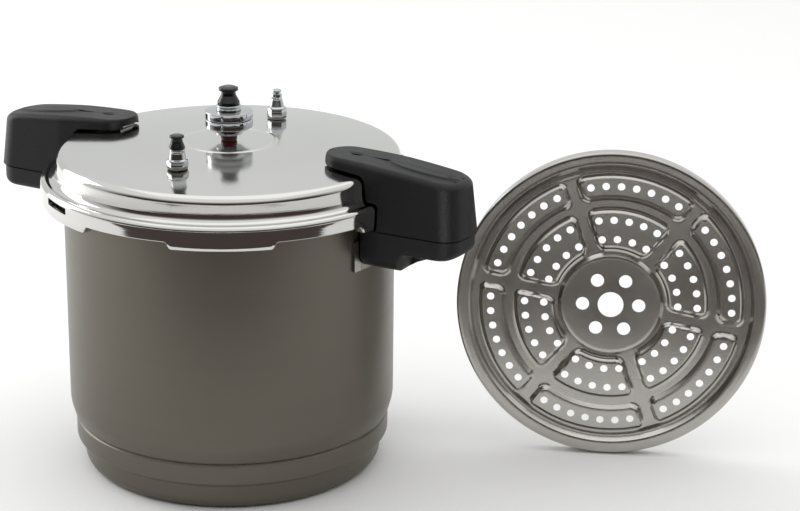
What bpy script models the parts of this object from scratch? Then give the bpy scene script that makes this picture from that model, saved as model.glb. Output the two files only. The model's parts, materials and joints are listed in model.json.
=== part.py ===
"""Pressure canner: a pot, a twist-lock lid with its fittings, and a perforated rack.

Metres, +Z up. The origin is the centre of the pot's flat base, X runs through the two handles, and every
turned piece shares the Z axis unless it says otherwise. Profiles are (radius, height) pairs.
"""

import math

import bmesh
import bpy
from mathutils import Matrix, Vector

MM = 0.001
GAP = 0.3 * MM  # between pieces that touch

# Pot
WALL_R = 133.0 * MM
WALL_T = 3.5 * MM
BORE_R = WALL_R - WALL_T
FLOOR_T = 4.5 * MM
BASE_FLAT_R = 112.0 * MM
FOOT_FILLET = 10.0 * MM
BAND_R = 128.7 * MM
BAND_BOTTOM, BAND_TOP = 24.7 * MM, 39.6 * MM
WALL_START = 55.0 * MM
RIM_TOP = 234.6 * MM
FLANGE_R = 140.5 * MM
FLANGE_BOTTOM = 227.4 * MM

# Twist lock: lugs on the pot, tabs with a curled lip on the lid
LUG_ANGLES = (0, 60, 120, 180, 240, 300)
LUG_SPAN = 26.0
LUG_R = 146.8 * MM
LUG_BOTTOM, LUG_TOP = 228.6 * MM, 232.0 * MM
TAB_SPAN = 30.0
LIP_R = 142.0 * MM
LIP_T = 3.5 * MM
TAB_BOTTOM = 223.9 * MM

# Lid
LID_T = 3.0 * MM
CROWN_TOP = 268.6 * MM
CROWN_EDGE_R = 131.5 * MM
CROWN_RISE = 6.2 * MM
EDGE_FILLET = 6.5 * MM
EDGE_CENTRE_Z = CROWN_TOP - CROWN_RISE - EDGE_FILLET
SHOULDER_Z = 243.0 * MM
SKIRT_R = 150.9 * MM
SKIRT_BOTTOM = 229.6 * MM
WINDOW_ANGLE, WINDOW_SPAN = 240.0, 13.0
WINDOW_BOTTOM, WINDOW_TOP = 233.3 * MM, 238.8 * MM
SEAL_INNER_R = 131.5 * MM
SEAL_OUTER_R = 147.0 * MM

# Handles, both pairs alike; distances are from the pot's axis
HANDLE_NOSE = 93.3 * MM
HANDLE_END = 218.3 * MM
HANDLE_HALF = 26.8 * MM
NOSE_HALF = 20.4 * MM
END_CORNER = 18.0 * MM
HANDLE_TOP = 274.5 * MM
HANDLE_END_TOP = 264.5 * MM
POT_HANDLE_TOP = 222.6 * MM
LID_HANDLE_BOTTOM = 223.3 * MM
LID_CLEAR = 1.2 * MM
LID_CLEAR_TOP = 1.8 * MM

# Rivets and screws
RIVET_SIDES = (-1, 1)
RIVET_ANGLE = 7.2
RIVET_Z = 199.0 * MM
RIVET_SHANK_R = 2.4 * MM
RIVET_HEAD_R = 4.2 * MM
RIVET_HEAD_T = 1.5 * MM
SCREW_R = 2.3 * MM
SCREW_HEAD_R = 4.4 * MM
SCREW_HEAD_T = 2.8 * MM

# Lower brackets: a plate on the wall with a tongue into the handle
PLATE_T = 2.0 * MM
PLATE_R = WALL_R + GAP
PLATE_BOTTOM, PLATE_TOP = 187.5 * MM, 212.0 * MM
PLATE_SPAN = 24.5
TONGUE_HALF = 11.0 * MM
TONGUE_BOTTOM, TONGUE_TOP = 207.5 * MM, 210.0 * MM
TONGUE_END = 172.0 * MM
POT_SCREW_X = 157.0 * MM
POT_HEAD_Z = 194.0 * MM
POT_SCREW_TOP = 216.0 * MM

# Upper brackets: a strap on the crown, running into the handle
STRAP_T = 2.0 * MM
STRAP_HALF = 10.0 * MM
STRAP_LEVEL = 263.6 * MM
STRAP_END = 172.0 * MM
LID_RIVET_X = 107.0 * MM
LID_SCREW_X = 160.0 * MM
LID_HEAD_Z = 252.0 * MM
LID_SCREW_TOP = 269.0 * MM

# Fittings on the lid
PIPE_R = 5.0 * MM
PIPE_BORE_R = 1.6 * MM
RING_R = 19.15 * MM
VALVE_OFFSET = 82.8 * MM
RELEASE_ANGLE, INDICATOR_ANGLE = -86.0, 94.0
VALVE_STEM_R = 4.0 * MM
VALVE_BASE = 268.5 * MM
VALVE_UNDER = 254.1 * MM

# Rack, standing beside the pot
RACK_R = 127.3 * MM
RACK_DEPTH = 14.0 * MM
RACK_T = 1.0 * MM
RACK_FOOT_X, RACK_FOOT_Y = 275.2 * MM, 143.3 * MM
RACK_TURN = 22.6
RACK_LEAN = 6.0

ROUND = 48
SMALL_ROUND = 20

parts = bpy.data.collections.new("pressure_canner")
cutters = bpy.data.collections.new("cutters")


def clear_scene():
    """Removes what the scene holds and links the two collections."""
    for obj in list(bpy.data.objects):
        bpy.data.objects.remove(obj, do_unlink=True)
    bpy.context.scene.collection.children.link(parts)
    bpy.context.scene.collection.children.link(cutters)


def finish(name, colour, roughness, metallic):
    """A plain material: base colour, roughness and metallic value."""
    material = bpy.data.materials.new(name)
    material.use_nodes = True
    shader = material.node_tree.nodes["Principled BSDF"]
    shader.inputs["Base Color"].default_value = (*colour, 1.0)
    shader.inputs["Roughness"].default_value = roughness
    shader.inputs["Metallic"].default_value = metallic
    return material


def as_piece(obj, material):
    """Puts an object in the assembly with its own copy of the material."""
    for collection in list(obj.users_collection):
        collection.objects.unlink(obj)
    parts.objects.link(obj)
    own = material.copy()
    own.name = obj.name
    obj.data.materials.clear()
    obj.data.materials.append(own)
    return obj


def as_cutter(obj):
    """Makes an object a hidden wire helper."""
    for collection in list(obj.users_collection):
        collection.objects.unlink(obj)
    cutters.objects.link(obj)
    obj.hide_render = True
    obj.display_type = "WIRE"
    return obj


def new_object(name, mesh):
    obj = bpy.data.objects.new(name, mesh)
    bpy.context.scene.collection.objects.link(obj)
    return obj


def arc(centre_r, centre_z, radius, start, end, steps):
    """Points on an arc, by angle in degrees from +r towards +z."""
    angles = [math.radians(start + (end - start) * i / steps) for i in range(steps + 1)]
    return [(centre_r + radius * math.cos(a), centre_z + radius * math.sin(a)) for a in angles]


def turned(name, profile, steps=ROUND, loop=False):
    """A profile turned about Z with a Screw modifier; a ring's profile is a closed loop."""
    mesh = bpy.data.meshes.new(name)
    edges = [(i, i + 1) for i in range(len(profile) - 1)]
    if loop:
        edges.append((len(profile) - 1, 0))
    mesh.from_pydata([(r, 0.0, z) for r, z in profile], edges, [])
    obj = new_object(name, mesh)
    screw = obj.modifiers.new("Turn", "SCREW")
    screw.angle = math.tau
    screw.steps = screw.render_steps = steps
    screw.use_merge_vertices = True
    screw.merge_threshold = 0.00005
    screw.use_smooth_shade = True
    return obj


def rod(name, radius, low, high, steps=12):
    """A plain round bar along Z between two heights."""
    mesh = bpy.data.meshes.new(name)
    shape = bmesh.new()
    bmesh.ops.create_cone(
        shape, cap_ends=True, segments=steps, radius1=radius, radius2=radius, depth=high - low
    )
    bmesh.ops.translate(shape, verts=shape.verts, vec=(0, 0, (low + high) / 2))
    shape.to_mesh(mesh)
    shape.free()
    return new_object(name, mesh)


def block(name, low, high):
    """A box between two corners."""
    mesh = bpy.data.meshes.new(name)
    size = Vector(high) - Vector(low)
    centre = (Vector(high) + Vector(low)) / 2
    shape = bmesh.new()
    bmesh.ops.create_cube(shape, size=1.0)
    bmesh.ops.scale(shape, vec=size, verts=shape.verts)
    bmesh.ops.translate(shape, vec=centre, verts=shape.verts)
    shape.to_mesh(mesh)
    shape.free()
    return new_object(name, mesh)


def upright_hole(name, x, y, radius, low=250 * MM, high=280 * MM):
    """A round cutter on a vertical axis at (x, y)."""
    hole = rod(name, radius, low, high)
    hole.matrix_basis = Matrix.Translation((x, y, 0))
    return hole


def filleted(corners, steps=4):
    """An outline with each corner (x, y, radius) rounded by an arc."""
    points = []
    for i, (x, y, radius) in enumerate(corners):
        here = Vector((x, y))
        if radius <= 0:
            points.append((x, y))
            continue
        before = (Vector(corners[i - 1][:2]) - here).normalized()
        after = (Vector(corners[(i + 1) % len(corners)][:2]) - here).normalized()
        half = before.angle(after) / 2
        centre = here + (before + after).normalized() * (radius / math.sin(half))
        first = here + before * (radius / math.tan(half)) - centre
        last = here + after * (radius / math.tan(half)) - centre
        sweep = first.angle_signed(last)
        for k in range(steps + 1):
            turn = Matrix.Rotation(-sweep * k / steps, 2)
            points.append(tuple(centre + turn @ first))
    return points


def slab(name, outline, low, high):
    """A flat outline in XY made solid between two heights."""
    curve = bpy.data.curves.new(name, "CURVE")
    curve.dimensions = "2D"
    curve.fill_mode = "BOTH"
    curve.extrude = (high - low) / 2
    spline = curve.splines.new("POLY")
    spline.points.add(len(outline) - 1)
    for point, (x, y) in zip(spline.points, outline):
        point.co = (x, y, 0.0, 1.0)
    spline.use_cyclic_u = True
    obj = new_object(name, curve)
    solid = bpy.data.meshes.new_from_object(obj.evaluated_get(bpy.context.evaluated_depsgraph_get()))
    bpy.data.objects.remove(obj)
    weld(solid)
    solid.transform(Matrix.Translation((0, 0, (low + high) / 2)))
    return new_object(name, solid)


def weld(mesh):
    """Joins a filled curve's caps to its sides and turns its faces outwards."""
    shape = bmesh.new()
    shape.from_mesh(mesh)
    bmesh.ops.remove_doubles(shape, verts=shape.verts, dist=0.00001)
    bmesh.ops.recalc_face_normals(shape, faces=shape.faces)
    shape.to_mesh(mesh)
    shape.free()


def side_slab(name, outline, half_width):
    """A side view in XZ made solid across Y."""
    obj = slab(name, outline, -half_width, half_width)
    obj.data.transform(Matrix.Rotation(math.radians(90), 4, "X"))
    return obj


def sector_outline(inner, outer, centre, span, steps=6):
    """A ring sector seen from above, centred on an angle in degrees."""
    angles = [math.radians(centre - span / 2 + span * i / steps) for i in range(steps + 1)]
    return [(outer * math.cos(a), outer * math.sin(a)) for a in angles] + [
        (inner * math.cos(a), inner * math.sin(a)) for a in reversed(angles)
    ]


def joined(name, pieces):
    """One mesh object from several separate solids."""
    shape = bmesh.new()
    for piece in pieces:
        mesh = piece.data.copy()
        mesh.transform(piece.matrix_basis)
        shape.from_mesh(mesh)
        bpy.data.objects.remove(piece)
    mesh = bpy.data.meshes.new(name)
    shape.to_mesh(mesh)
    shape.free()
    return new_object(name, mesh)


def boolean(obj, helper, operation, solver="EXACT"):
    """Adds a Boolean with a helper, which becomes a hidden cutter."""
    as_cutter(helper)
    modifier = obj.modifiers.new(helper.name, "BOOLEAN")
    modifier.operation = operation
    modifier.object = helper
    modifier.solver = solver
    return obj


def cut(obj, helper):
    return boolean(obj, helper, "DIFFERENCE")


def turn_about_z(obj, degrees):
    """Turns a piece, its helpers and their places about the pot's axis."""
    spin = Matrix.Rotation(math.radians(degrees), 4, "Z")
    obj.matrix_basis = spin @ obj.matrix_basis
    for modifier in obj.modifiers:
        if modifier.type == "BOOLEAN":
            modifier.object.matrix_basis = spin @ modifier.object.matrix_basis
    return obj


ALUMINIUM = finish("polished_aluminium", (0.82, 0.82, 0.81), 0.22, 1.0)
ANODISED = finish("hard_anodised_aluminium", (0.115, 0.100, 0.085), 0.42, 0.75)
STEEL = finish("polished_steel", (0.70, 0.70, 0.70), 0.18, 1.0)
CHROME = finish("chrome_plate", (0.86, 0.87, 0.88), 0.07, 1.0)
PHENOLIC = finish("black_phenolic", (0.022, 0.021, 0.025), 0.50, 0.0)
GLOSS_BLACK = finish("gloss_black_moulding", (0.012, 0.011, 0.012), 0.20, 0.0)
RED_RUBBER = finish("red_silicone", (0.150, 0.016, 0.022), 0.45, 0.0)
GREY_RUBBER = finish("grey_rubber", (0.09, 0.09, 0.09), 0.60, 0.0)


# ---------------------------------------------------------------- pot


def pot_body():
    """The drawn pot with its stepped foot, rolled rim and six locking lugs."""
    inside = [
        (0.0, FLOOR_T),
        (BASE_FLAT_R - 5 * MM, FLOOR_T),
        (BASE_FLAT_R + 4.5 * MM, 8.0 * MM),
        (BASE_FLAT_R + 7.5 * MM, 14.0 * MM),
        (BASE_FLAT_R + 8.0 * MM, 25.5 * MM),
        (BAND_R - WALL_T - 0.5 * MM, 29.5 * MM),
        (BAND_R - WALL_T - 0.5 * MM, 45.0 * MM),
        (BORE_R, WALL_START + 5 * MM),
        (BORE_R, RIM_TOP - 1.5 * MM),
        (BORE_R + 1.5 * MM, RIM_TOP),
    ]
    outside = [
        (FLANGE_R - 1.5 * MM, RIM_TOP),
        (FLANGE_R, RIM_TOP - 1.5 * MM),
        (FLANGE_R, FLANGE_BOTTOM),
        (WALL_R, FLANGE_BOTTOM - 1.0 * MM),
        (WALL_R, WALL_START),
        (WALL_R - 1.0 * MM, WALL_START - 6.5 * MM),
        (WALL_R - 3.2 * MM, WALL_START - 11.5 * MM),
        (BAND_R - 1.3 * MM, BAND_TOP + 1.3 * MM),
        (BAND_R, BAND_TOP),
        (BAND_R, BAND_BOTTOM),
        (BASE_FLAT_R + 12.2 * MM, BAND_BOTTOM - 1.6 * MM),
        (BASE_FLAT_R + 11.2 * MM, BAND_BOTTOM - 4.0 * MM),
    ]
    foot = arc(BASE_FLAT_R, FOOT_FILLET, FOOT_FILLET, 0, -90, 3)
    pot = turned("pot_body", inside + outside + foot + [(0.0, 0.0)])
    lugs = [
        slab(f"lug_{angle}", sector_outline(FLANGE_R - 1.5 * MM, LUG_R, angle, LUG_SPAN), LUG_BOTTOM, LUG_TOP)
        for angle in LUG_ANGLES
    ]
    boolean(pot, joined("pot_lugs", lugs), "UNION")
    holes = [rivet_hole(side, across) for side in (0, 180) for across in RIVET_SIDES]
    cut(pot, joined("pot_rivet_holes", holes))
    return as_piece(pot, ANODISED)


def outwards(obj, side, across):
    """Lays a piece made along +Z on its side, pointing out of the wall at a rivet's place."""
    angle = math.radians(side + across * RIVET_ANGLE)
    lay = Matrix.Rotation(math.radians(90), 4, "Y")
    obj.matrix_basis = Matrix.Translation((0, 0, RIVET_Z)) @ Matrix.Rotation(angle, 4, "Z") @ lay
    return obj


def rivet_hole(side, across):
    hole = rod(f"rivet_hole_{side}_{across}", RIVET_SHANK_R + GAP, BORE_R - 5 * MM, WALL_R + 8 * MM)
    return outwards(hole, side, across)


def pot_bracket(name, side):
    """A plate riveted to the wall, with a tongue that the handle fits over."""
    plate = slab(
        name,
        sector_outline(PLATE_R, PLATE_R + PLATE_T, 0, PLATE_SPAN, 8),
        PLATE_BOTTOM,
        PLATE_TOP,
    )
    tongue = block(
        f"{name}_tongue",
        (PLATE_R + 1.0 * MM, -TONGUE_HALF, TONGUE_BOTTOM),
        (TONGUE_END, TONGUE_HALF, TONGUE_TOP),
    )
    boolean(plate, tongue, "UNION")
    holes = [rivet_hole(0, across) for across in RIVET_SIDES]
    screw_hole = upright_hole(f"{name}_screw_hole", POT_SCREW_X, 0, SCREW_R + GAP, 200 * MM, 215 * MM)
    cut(plate, joined(f"{name}_holes", holes + [screw_hole]))
    return as_piece(turn_about_z(plate, side), STEEL)


def pot_rivet(name, side, across):
    """A round-head rivet: head outside the plate, closing head inside the pot."""
    outer = PLATE_R + PLATE_T + GAP
    inner = BORE_R - GAP - 0.3 * MM
    profile = [
        (0.0, outer + RIVET_HEAD_T),
        (RIVET_HEAD_R * 0.6, outer + RIVET_HEAD_T * 0.85),
        (RIVET_HEAD_R, outer + 0.4 * MM),
        (RIVET_HEAD_R, outer),
        (RIVET_SHANK_R, outer),
        (RIVET_SHANK_R, inner),
        (RIVET_HEAD_R, inner),
        (RIVET_HEAD_R, inner - 0.5 * MM),
        (0.0, inner - RIVET_HEAD_T),
    ]
    rivet = outwards(turned(name, profile, 12), side, across)
    return as_piece(rivet, STEEL)


def screw(name, side, along, head_bottom, top):
    """A pan-head screw driven upwards, with a plain shank."""
    profile = [
        (0.0, top),
        (SCREW_R * 0.5, top - 0.5 * MM),
        (SCREW_R, top - 3.0 * MM),
        (SCREW_R, head_bottom + SCREW_HEAD_T),
        (SCREW_HEAD_R, head_bottom + SCREW_HEAD_T),
        (SCREW_HEAD_R, head_bottom + 1.0 * MM),
        (SCREW_HEAD_R * 0.7, head_bottom),
        (0.0, head_bottom),
    ]
    obj = turned(name, profile, 12)
    slot = block(
        f"{name}_slot",
        (-SCREW_HEAD_R, -0.5 * MM, head_bottom - 1 * MM),
        (SCREW_HEAD_R, 0.5 * MM, head_bottom + 1.2 * MM),
    )
    cut(obj, slot)
    shift = Matrix.Translation((along, 0, 0))
    obj.matrix_basis = shift
    slot.matrix_basis = shift
    return as_piece(turn_about_z(obj, side), STEEL)


def plan_outline(inner_end, inner_half, inset=0.0):
    """The handles' outline from above: round nose, widening body and a rounded outer end."""
    half = HANDLE_HALF - inset
    end = HANDLE_END - inset
    corners = [
        (inner_end, -inner_half, inner_half * 0.92),
        (150 * MM, -half, 40 * MM),
        (end - 4 * MM, -half + 1 * MM, END_CORNER),
        (end, 0, 60 * MM),
        (end - 4 * MM, half - 1 * MM, END_CORNER),
        (150 * MM, half, 40 * MM),
        (inner_end, inner_half, inner_half * 0.92),
    ]
    return filleted(corners, 5)


def lid_clearance(name):
    """The lid's outer form grown by the handle's clearance, to cut the handle around it."""
    turn = arc(CROWN_EDGE_R, EDGE_CENTRE_Z, EDGE_FILLET, 60, 0, 2)
    edge = [(r + LID_CLEAR, z + LID_CLEAR) for r, z in turn]
    profile = [
        (0.0, CROWN_TOP + LID_CLEAR_TOP),
        (CROWN_EDGE_R * 0.7, crown(CROWN_EDGE_R * 0.7) + LID_CLEAR_TOP),
        (CROWN_EDGE_R, crown(CROWN_EDGE_R) + LID_CLEAR_TOP),
    ] + edge
    profile += [
        (139.6 * MM + LID_CLEAR, SHOULDER_Z + 3.5 * MM),
        (147.0 * MM + LID_CLEAR, SHOULDER_Z + LID_CLEAR),
        (SKIRT_R + LID_CLEAR, SHOULDER_Z - 3.0 * MM),
        (SKIRT_R + LID_CLEAR, 190.0 * MM),
        (0.0, 190.0 * MM),
    ]
    return turned(name, profile, 72)


def pot_handle(name, side):
    """The lower handle: a slim grip whose lobe near the wall hides the bracket and its screw."""
    inner = PLATE_R + PLATE_T + 1.2 * MM
    outline = filleted(
        [
            (inner, POT_HANDLE_TOP, 0),
            (inner, 192.5 * MM, 2 * MM),
            (143.0 * MM, 190.6 * MM, 5 * MM),
            (166.0 * MM, 190.6 * MM, 7 * MM),
            (174.0 * MM, 199.0 * MM, 2 * MM),
            (184.0 * MM, 199.6 * MM, 3 * MM),
            (189.0 * MM, 205.8 * MM, 3 * MM),
            (212.0 * MM, 206.4 * MM, 8 * MM),
            (HANDLE_END + 3 * MM, 212.0 * MM, 4 * MM),
            (HANDLE_END + 3 * MM, POT_HANDLE_TOP, 0),
        ],
        3,
    )
    grip = side_slab(name, outline, HANDLE_HALF * 1.3)
    plan = slab(f"{name}_plan", plan_outline(120 * MM, HANDLE_HALF - 3 * MM, 1.0 * MM), 170 * MM, 230 * MM)
    boolean(grip, plan, "INTERSECT", "MANIFOLD")
    wall = turned(
        f"{name}_wall",
        [
            (0.0, 240 * MM),
            (PLATE_R + PLATE_T + 0.5 * MM, 240 * MM),
            (PLATE_R + PLATE_T + 0.5 * MM, 170 * MM),
            (0.0, 170 * MM),
        ],
        72,
    )
    cut(grip, wall)
    slot = block(
        f"{name}_slot",
        (120 * MM, -TONGUE_HALF - GAP, TONGUE_BOTTOM - GAP),
        (TONGUE_END + GAP, TONGUE_HALF + GAP, TONGUE_TOP + GAP),
    )
    bore = screw_bore(f"{name}_bore", POT_SCREW_X, 185 * MM, POT_HEAD_Z + SCREW_HEAD_T, POT_SCREW_TOP)
    pockets = [rivet_pocket(f"{name}_pocket_{across}", across) for across in RIVET_SIDES]
    for helper in [slot, bore] + pockets:
        cut(grip, helper)
    return as_piece(turn_about_z(grip, side), PHENOLIC)


def rivet_pocket(name, across):
    pocket = rod(name, RIVET_HEAD_R + 1.0 * MM, 125 * MM, PLATE_R + PLATE_T + RIVET_HEAD_T + 1.5 * MM, 10)
    return outwards(pocket, 0, across)


def screw_bore(name, along, mouth, seat, tip):
    """A counterbored blind hole for a screw, open at its mouth below."""
    profile = [
        (0.0, tip + GAP),
        (SCREW_R + GAP, tip + GAP),
        (SCREW_R + GAP, seat + GAP),
        (SCREW_HEAD_R + 2 * GAP, seat + GAP),
        (SCREW_HEAD_R + 2 * GAP, mouth),
        (0.0, mouth),
    ]
    bore = turned(name, profile, 12)
    bore.matrix_basis = Matrix.Translation((along, 0, 0))
    return bore


# ---------------------------------------------------------------- lid

def crown(radius):
    """Height of the lid's top at a radius."""
    return CROWN_TOP - CROWN_RISE * (radius / CROWN_EDGE_R) ** 2


def lid_shell():
    """The domed lid, its stepped shoulder, its skirt and the six tabs that grip the lugs."""
    crown_radii = [CROWN_EDGE_R * share for share in (0.0, 0.3, 0.55, 0.8)]
    outside = [(r, crown(r)) for r in crown_radii]
    outside += arc(CROWN_EDGE_R, EDGE_CENTRE_Z, EDGE_FILLET, 90, 0, 4)
    outside += [
        (138.5 * MM, SHOULDER_Z + 7.0 * MM),
        (139.6 * MM, SHOULDER_Z + 2.6 * MM),
        (141.8 * MM, SHOULDER_Z + 0.4 * MM),
    ]
    outside += arc(147.0 * MM, SHOULDER_Z - 3.9 * MM, 3.9 * MM, 90, 0, 2)
    lip = [
        (SKIRT_R, TAB_BOTTOM + 1.5 * MM),
        (SKIRT_R - 1.5 * MM, TAB_BOTTOM),
        (LIP_R, TAB_BOTTOM),
        (LIP_R, TAB_BOTTOM + LIP_T),
        (SEAL_OUTER_R + 0.4 * MM, TAB_BOTTOM + LIP_T),
    ]
    inside = [
        (SEAL_OUTER_R + 0.4 * MM, SHOULDER_Z - LID_T - 0.2 * MM),
        (138.6 * MM, SHOULDER_Z - LID_T - 0.2 * MM),
        (136.6 * MM, SHOULDER_Z + 3.0 * MM),
    ]
    inside += arc(CROWN_EDGE_R, EDGE_CENTRE_Z, EDGE_FILLET - LID_T, 0, 90, 3)
    inside += [(r, crown(r) - LID_T) for r in reversed(crown_radii)]
    lid = turned("lid_shell", outside + lip + inside)
    gaps = [
        slab(
            f"tab_gap_{angle}",
            sector_outline(LIP_R - 4 * MM, SKIRT_R + 5 * MM, angle + 30, 60 - TAB_SPAN),
            TAB_BOTTOM - 6 * MM,
            SKIRT_BOTTOM,
        )
        for angle in LUG_ANGLES
    ]
    window = slab(
        "relief_window_cutter",
        sector_outline(SEAL_OUTER_R - 3 * MM, SKIRT_R + 5 * MM, WINDOW_ANGLE, WINDOW_SPAN),
        WINDOW_BOTTOM,
        WINDOW_TOP,
    )
    cut(lid, joined("lid_skirt_cuts", gaps + [window]))
    bores = [
        upright_hole("vent_pipe_hole", 0, 0, PIPE_R + GAP),
        upright_hole("release_hole", *valve_xy(RELEASE_ANGLE), VALVE_STEM_R + GAP),
        upright_hole("indicator_hole", *valve_xy(INDICATOR_ANGLE), VALVE_STEM_R + GAP),
        upright_hole("bracket_hole_right", LID_RIVET_X, 0, RIVET_SHANK_R + GAP),
        upright_hole("bracket_hole_left", -LID_RIVET_X, 0, RIVET_SHANK_R + GAP),
    ]
    cut(lid, joined("lid_bores", bores))
    return as_piece(lid, ALUMINIUM)


def sealing_ring():
    """The ring that seals the lid on the pot's rim."""
    bottom = RIM_TOP + GAP
    top = SHOULDER_Z - LID_T - 0.5 * MM
    profile = [
        (SEAL_INNER_R + 1 * MM, top),
        (SEAL_OUTER_R - 1 * MM, top),
        (SEAL_OUTER_R, top - 1 * MM),
        (SEAL_OUTER_R, bottom + 1 * MM),
        (SEAL_OUTER_R - 1 * MM, bottom),
        (SEAL_INNER_R + 1 * MM, bottom),
        (SEAL_INNER_R, bottom + 1 * MM),
        (SEAL_INNER_R, top - 1 * MM),
    ]
    return as_piece(turned("sealing_ring", profile, loop=True), GREY_RUBBER)


def lid_bracket(name, side):
    """A strap riveted on the crown, running out level into the handle."""
    inner = HANDLE_NOSE + 5.5 * MM
    lower = [
        (inner, crown(inner) + 0.5 * MM),
        (114.0 * MM, crown(114.0 * MM) + 0.5 * MM),
        (128.0 * MM, STRAP_LEVEL - 0.3 * MM),
        (134.0 * MM, STRAP_LEVEL),
        (STRAP_END, STRAP_LEVEL),
    ]
    upper = [(x, z + STRAP_T) for x, z in reversed(lower)]
    strap = side_slab(name, lower + upper, STRAP_HALF)
    rivet = upright_hole(f"{name}_rivet_hole", LID_RIVET_X, 0, RIVET_SHANK_R + GAP)
    bolt = upright_hole(f"{name}_screw_hole", LID_SCREW_X, 0, SCREW_R + GAP)
    cut(strap, joined(f"{name}_holes", [rivet, bolt]))
    return as_piece(turn_about_z(strap, side), STEEL)


def lid_rivet(name, side):
    """The rivet through the strap and the crown."""
    top = crown(LID_RIVET_X) + 0.5 * MM + STRAP_T + 0.6 * MM
    under = crown(LID_RIVET_X) - LID_T - 0.6 * MM
    profile = [
        (0.0, top + 0.9 * MM),
        (RIVET_HEAD_R - 0.8 * MM, top + 0.9 * MM),
        (RIVET_HEAD_R, top),
        (RIVET_SHANK_R, top),
        (RIVET_SHANK_R, under),
        (RIVET_HEAD_R, under),
        (RIVET_HEAD_R - 0.8 * MM, under - 1.2 * MM),
        (0.0, under - 1.2 * MM),
    ]
    rivet = turned(name, profile, 12)
    rivet.matrix_basis = Matrix.Translation((LID_RIVET_X, 0, 0))
    return as_piece(turn_about_z(rivet, side), STEEL)


def lid_handle(name, side):
    """The upper handle: its nose overhangs the crown and its body fits around the lid's edge."""
    outline = filleted(
        [
            (HANDLE_NOSE, 255 * MM, 0),
            (HANDLE_NOSE, HANDLE_TOP, 5 * MM),
            (148 * MM, HANDLE_TOP - 0.3 * MM, 100 * MM),
            (HANDLE_END - 3 * MM, HANDLE_END_TOP, 5 * MM),
            (HANDLE_END + 0.5 * MM, LID_HANDLE_BOTTOM, 0),
            (120 * MM, LID_HANDLE_BOTTOM, 0),
            (120 * MM, 255 * MM, 0),
        ],
        3,
    )
    body = side_slab(name, outline, HANDLE_HALF * 1.3)
    plan = slab(f"{name}_plan", plan_outline(HANDLE_NOSE, NOSE_HALF), 200 * MM, 290 * MM)
    boolean(body, plan, "INTERSECT")
    cut(body, lid_clearance(f"{name}_lid_clearance"))
    nose, tail, top = HANDLE_NOSE + 4 * MM, STRAP_END + 1 * MM, STRAP_LEVEL + STRAP_T + 0.8 * MM
    pocket = [
        (nose, 255.0 * MM),
        (142.0 * MM, 255.0 * MM),
        (142.0 * MM, STRAP_LEVEL - 0.4 * MM),
        (tail, STRAP_LEVEL - 0.4 * MM),
        (tail, top),
        (124.0 * MM, top),
        (124.0 * MM, 269.4 * MM),
        (nose, 269.4 * MM),
    ]
    cut(body, side_slab(f"{name}_pocket", pocket, STRAP_HALF + 1 * MM))
    cut(body, screw_bore(f"{name}_bore", LID_SCREW_X, 215 * MM, LID_HEAD_Z + SCREW_HEAD_T, LID_SCREW_TOP))
    return as_piece(turn_about_z(body, side), PHENOLIC)


# ---------------------------------------------------------------- fittings on the lid


def vent_pipe():
    """The threaded pipe through the crown that the regulator sits on."""
    profile = [
        (PIPE_BORE_R, 289.0 * MM),
        (3.2 * MM, 289.0 * MM),
        (4.6 * MM, 283.0 * MM),
        (4.6 * MM, 273.8 * MM),
        (6.2 * MM, 273.8 * MM),
        (6.2 * MM, 273.0 * MM),
        (PIPE_R, 273.0 * MM),
        (PIPE_R, 256.5 * MM),
        (PIPE_BORE_R, 256.5 * MM),
    ]
    return as_piece(turned("vent_pipe", profile, SMALL_ROUND, loop=True), CHROME)


def vent_seal():
    """The red ring between the pipe's shoulder and the crown."""
    bottom = CROWN_TOP + GAP
    profile = [
        (PIPE_R + GAP, bottom + 3.8 * MM),
        (5.8 * MM, bottom + 3.8 * MM),
        (6.3 * MM, bottom + 2.6 * MM),
        (6.3 * MM, bottom + 1.0 * MM),
        (5.8 * MM, bottom),
        (PIPE_R + GAP, bottom),
    ]
    return as_piece(turned("vent_pipe_seal", profile, SMALL_ROUND, loop=True), RED_RUBBER)


def hex_nut(name, across_flats, bore, low, high):
    """A hexagonal nut on the pot's axis."""
    nut = rod(name, across_flats / math.sqrt(3), low, high, 6)
    cut(nut, rod(f"{name}_bore", bore + GAP, low - 2 * MM, high + 2 * MM, SMALL_ROUND))
    return as_piece(nut, STEEL)


def regulator_core():
    """The weight's spindle: it drops over the vent pipe and carries the two rings."""
    base = 274.2 * MM
    profile = [
        (0.0, 298.0 * MM),
        (9.3 * MM, 298.0 * MM),
        (9.8 * MM, 297.4 * MM),
        (9.8 * MM, 293.6 * MM),
        (8.0 * MM, 293.6 * MM),
        (8.0 * MM, base + 1.8 * MM),
        (11.0 * MM, base + 1.8 * MM),
        (11.0 * MM, base),
        (5.2 * MM, base),
        (5.2 * MM, 284.0 * MM),
        (3.8 * MM, 290.0 * MM),
        (0.0, 290.0 * MM),
    ]
    return as_piece(turned("regulator_core", profile, 24), CHROME)


def regulator_ring(name, low, high, foot_r, foot_z):
    """One weight ring on the spindle; its underside tapers from foot_z to foot_r at the bottom."""
    profile = [
        (8.0 * MM + GAP, high),
        (RING_R - 0.5 * MM, high),
        (RING_R, high - 0.5 * MM),
        (RING_R, foot_z),
        (foot_r, low),
        (8.0 * MM + GAP, low),
    ]
    return as_piece(turned(name, profile, 36, loop=True), CHROME)


def regulator_knob():
    """The black knob: a mushroom cap on a flared skirt."""
    profile = [
        (0.0, 312.9 * MM),
        (5.4 * MM, 312.7 * MM),
        (7.4 * MM, 311.8 * MM),
        (7.5 * MM, 310.7 * MM),
        (5.1 * MM, 309.5 * MM),
        (8.9 * MM, 299.2 * MM),
        (8.9 * MM, 298.3 * MM),
        (0.0, 298.3 * MM),
    ]
    return as_piece(turned("regulator_knob", profile, 24), GLOSS_BLACK)


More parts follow.
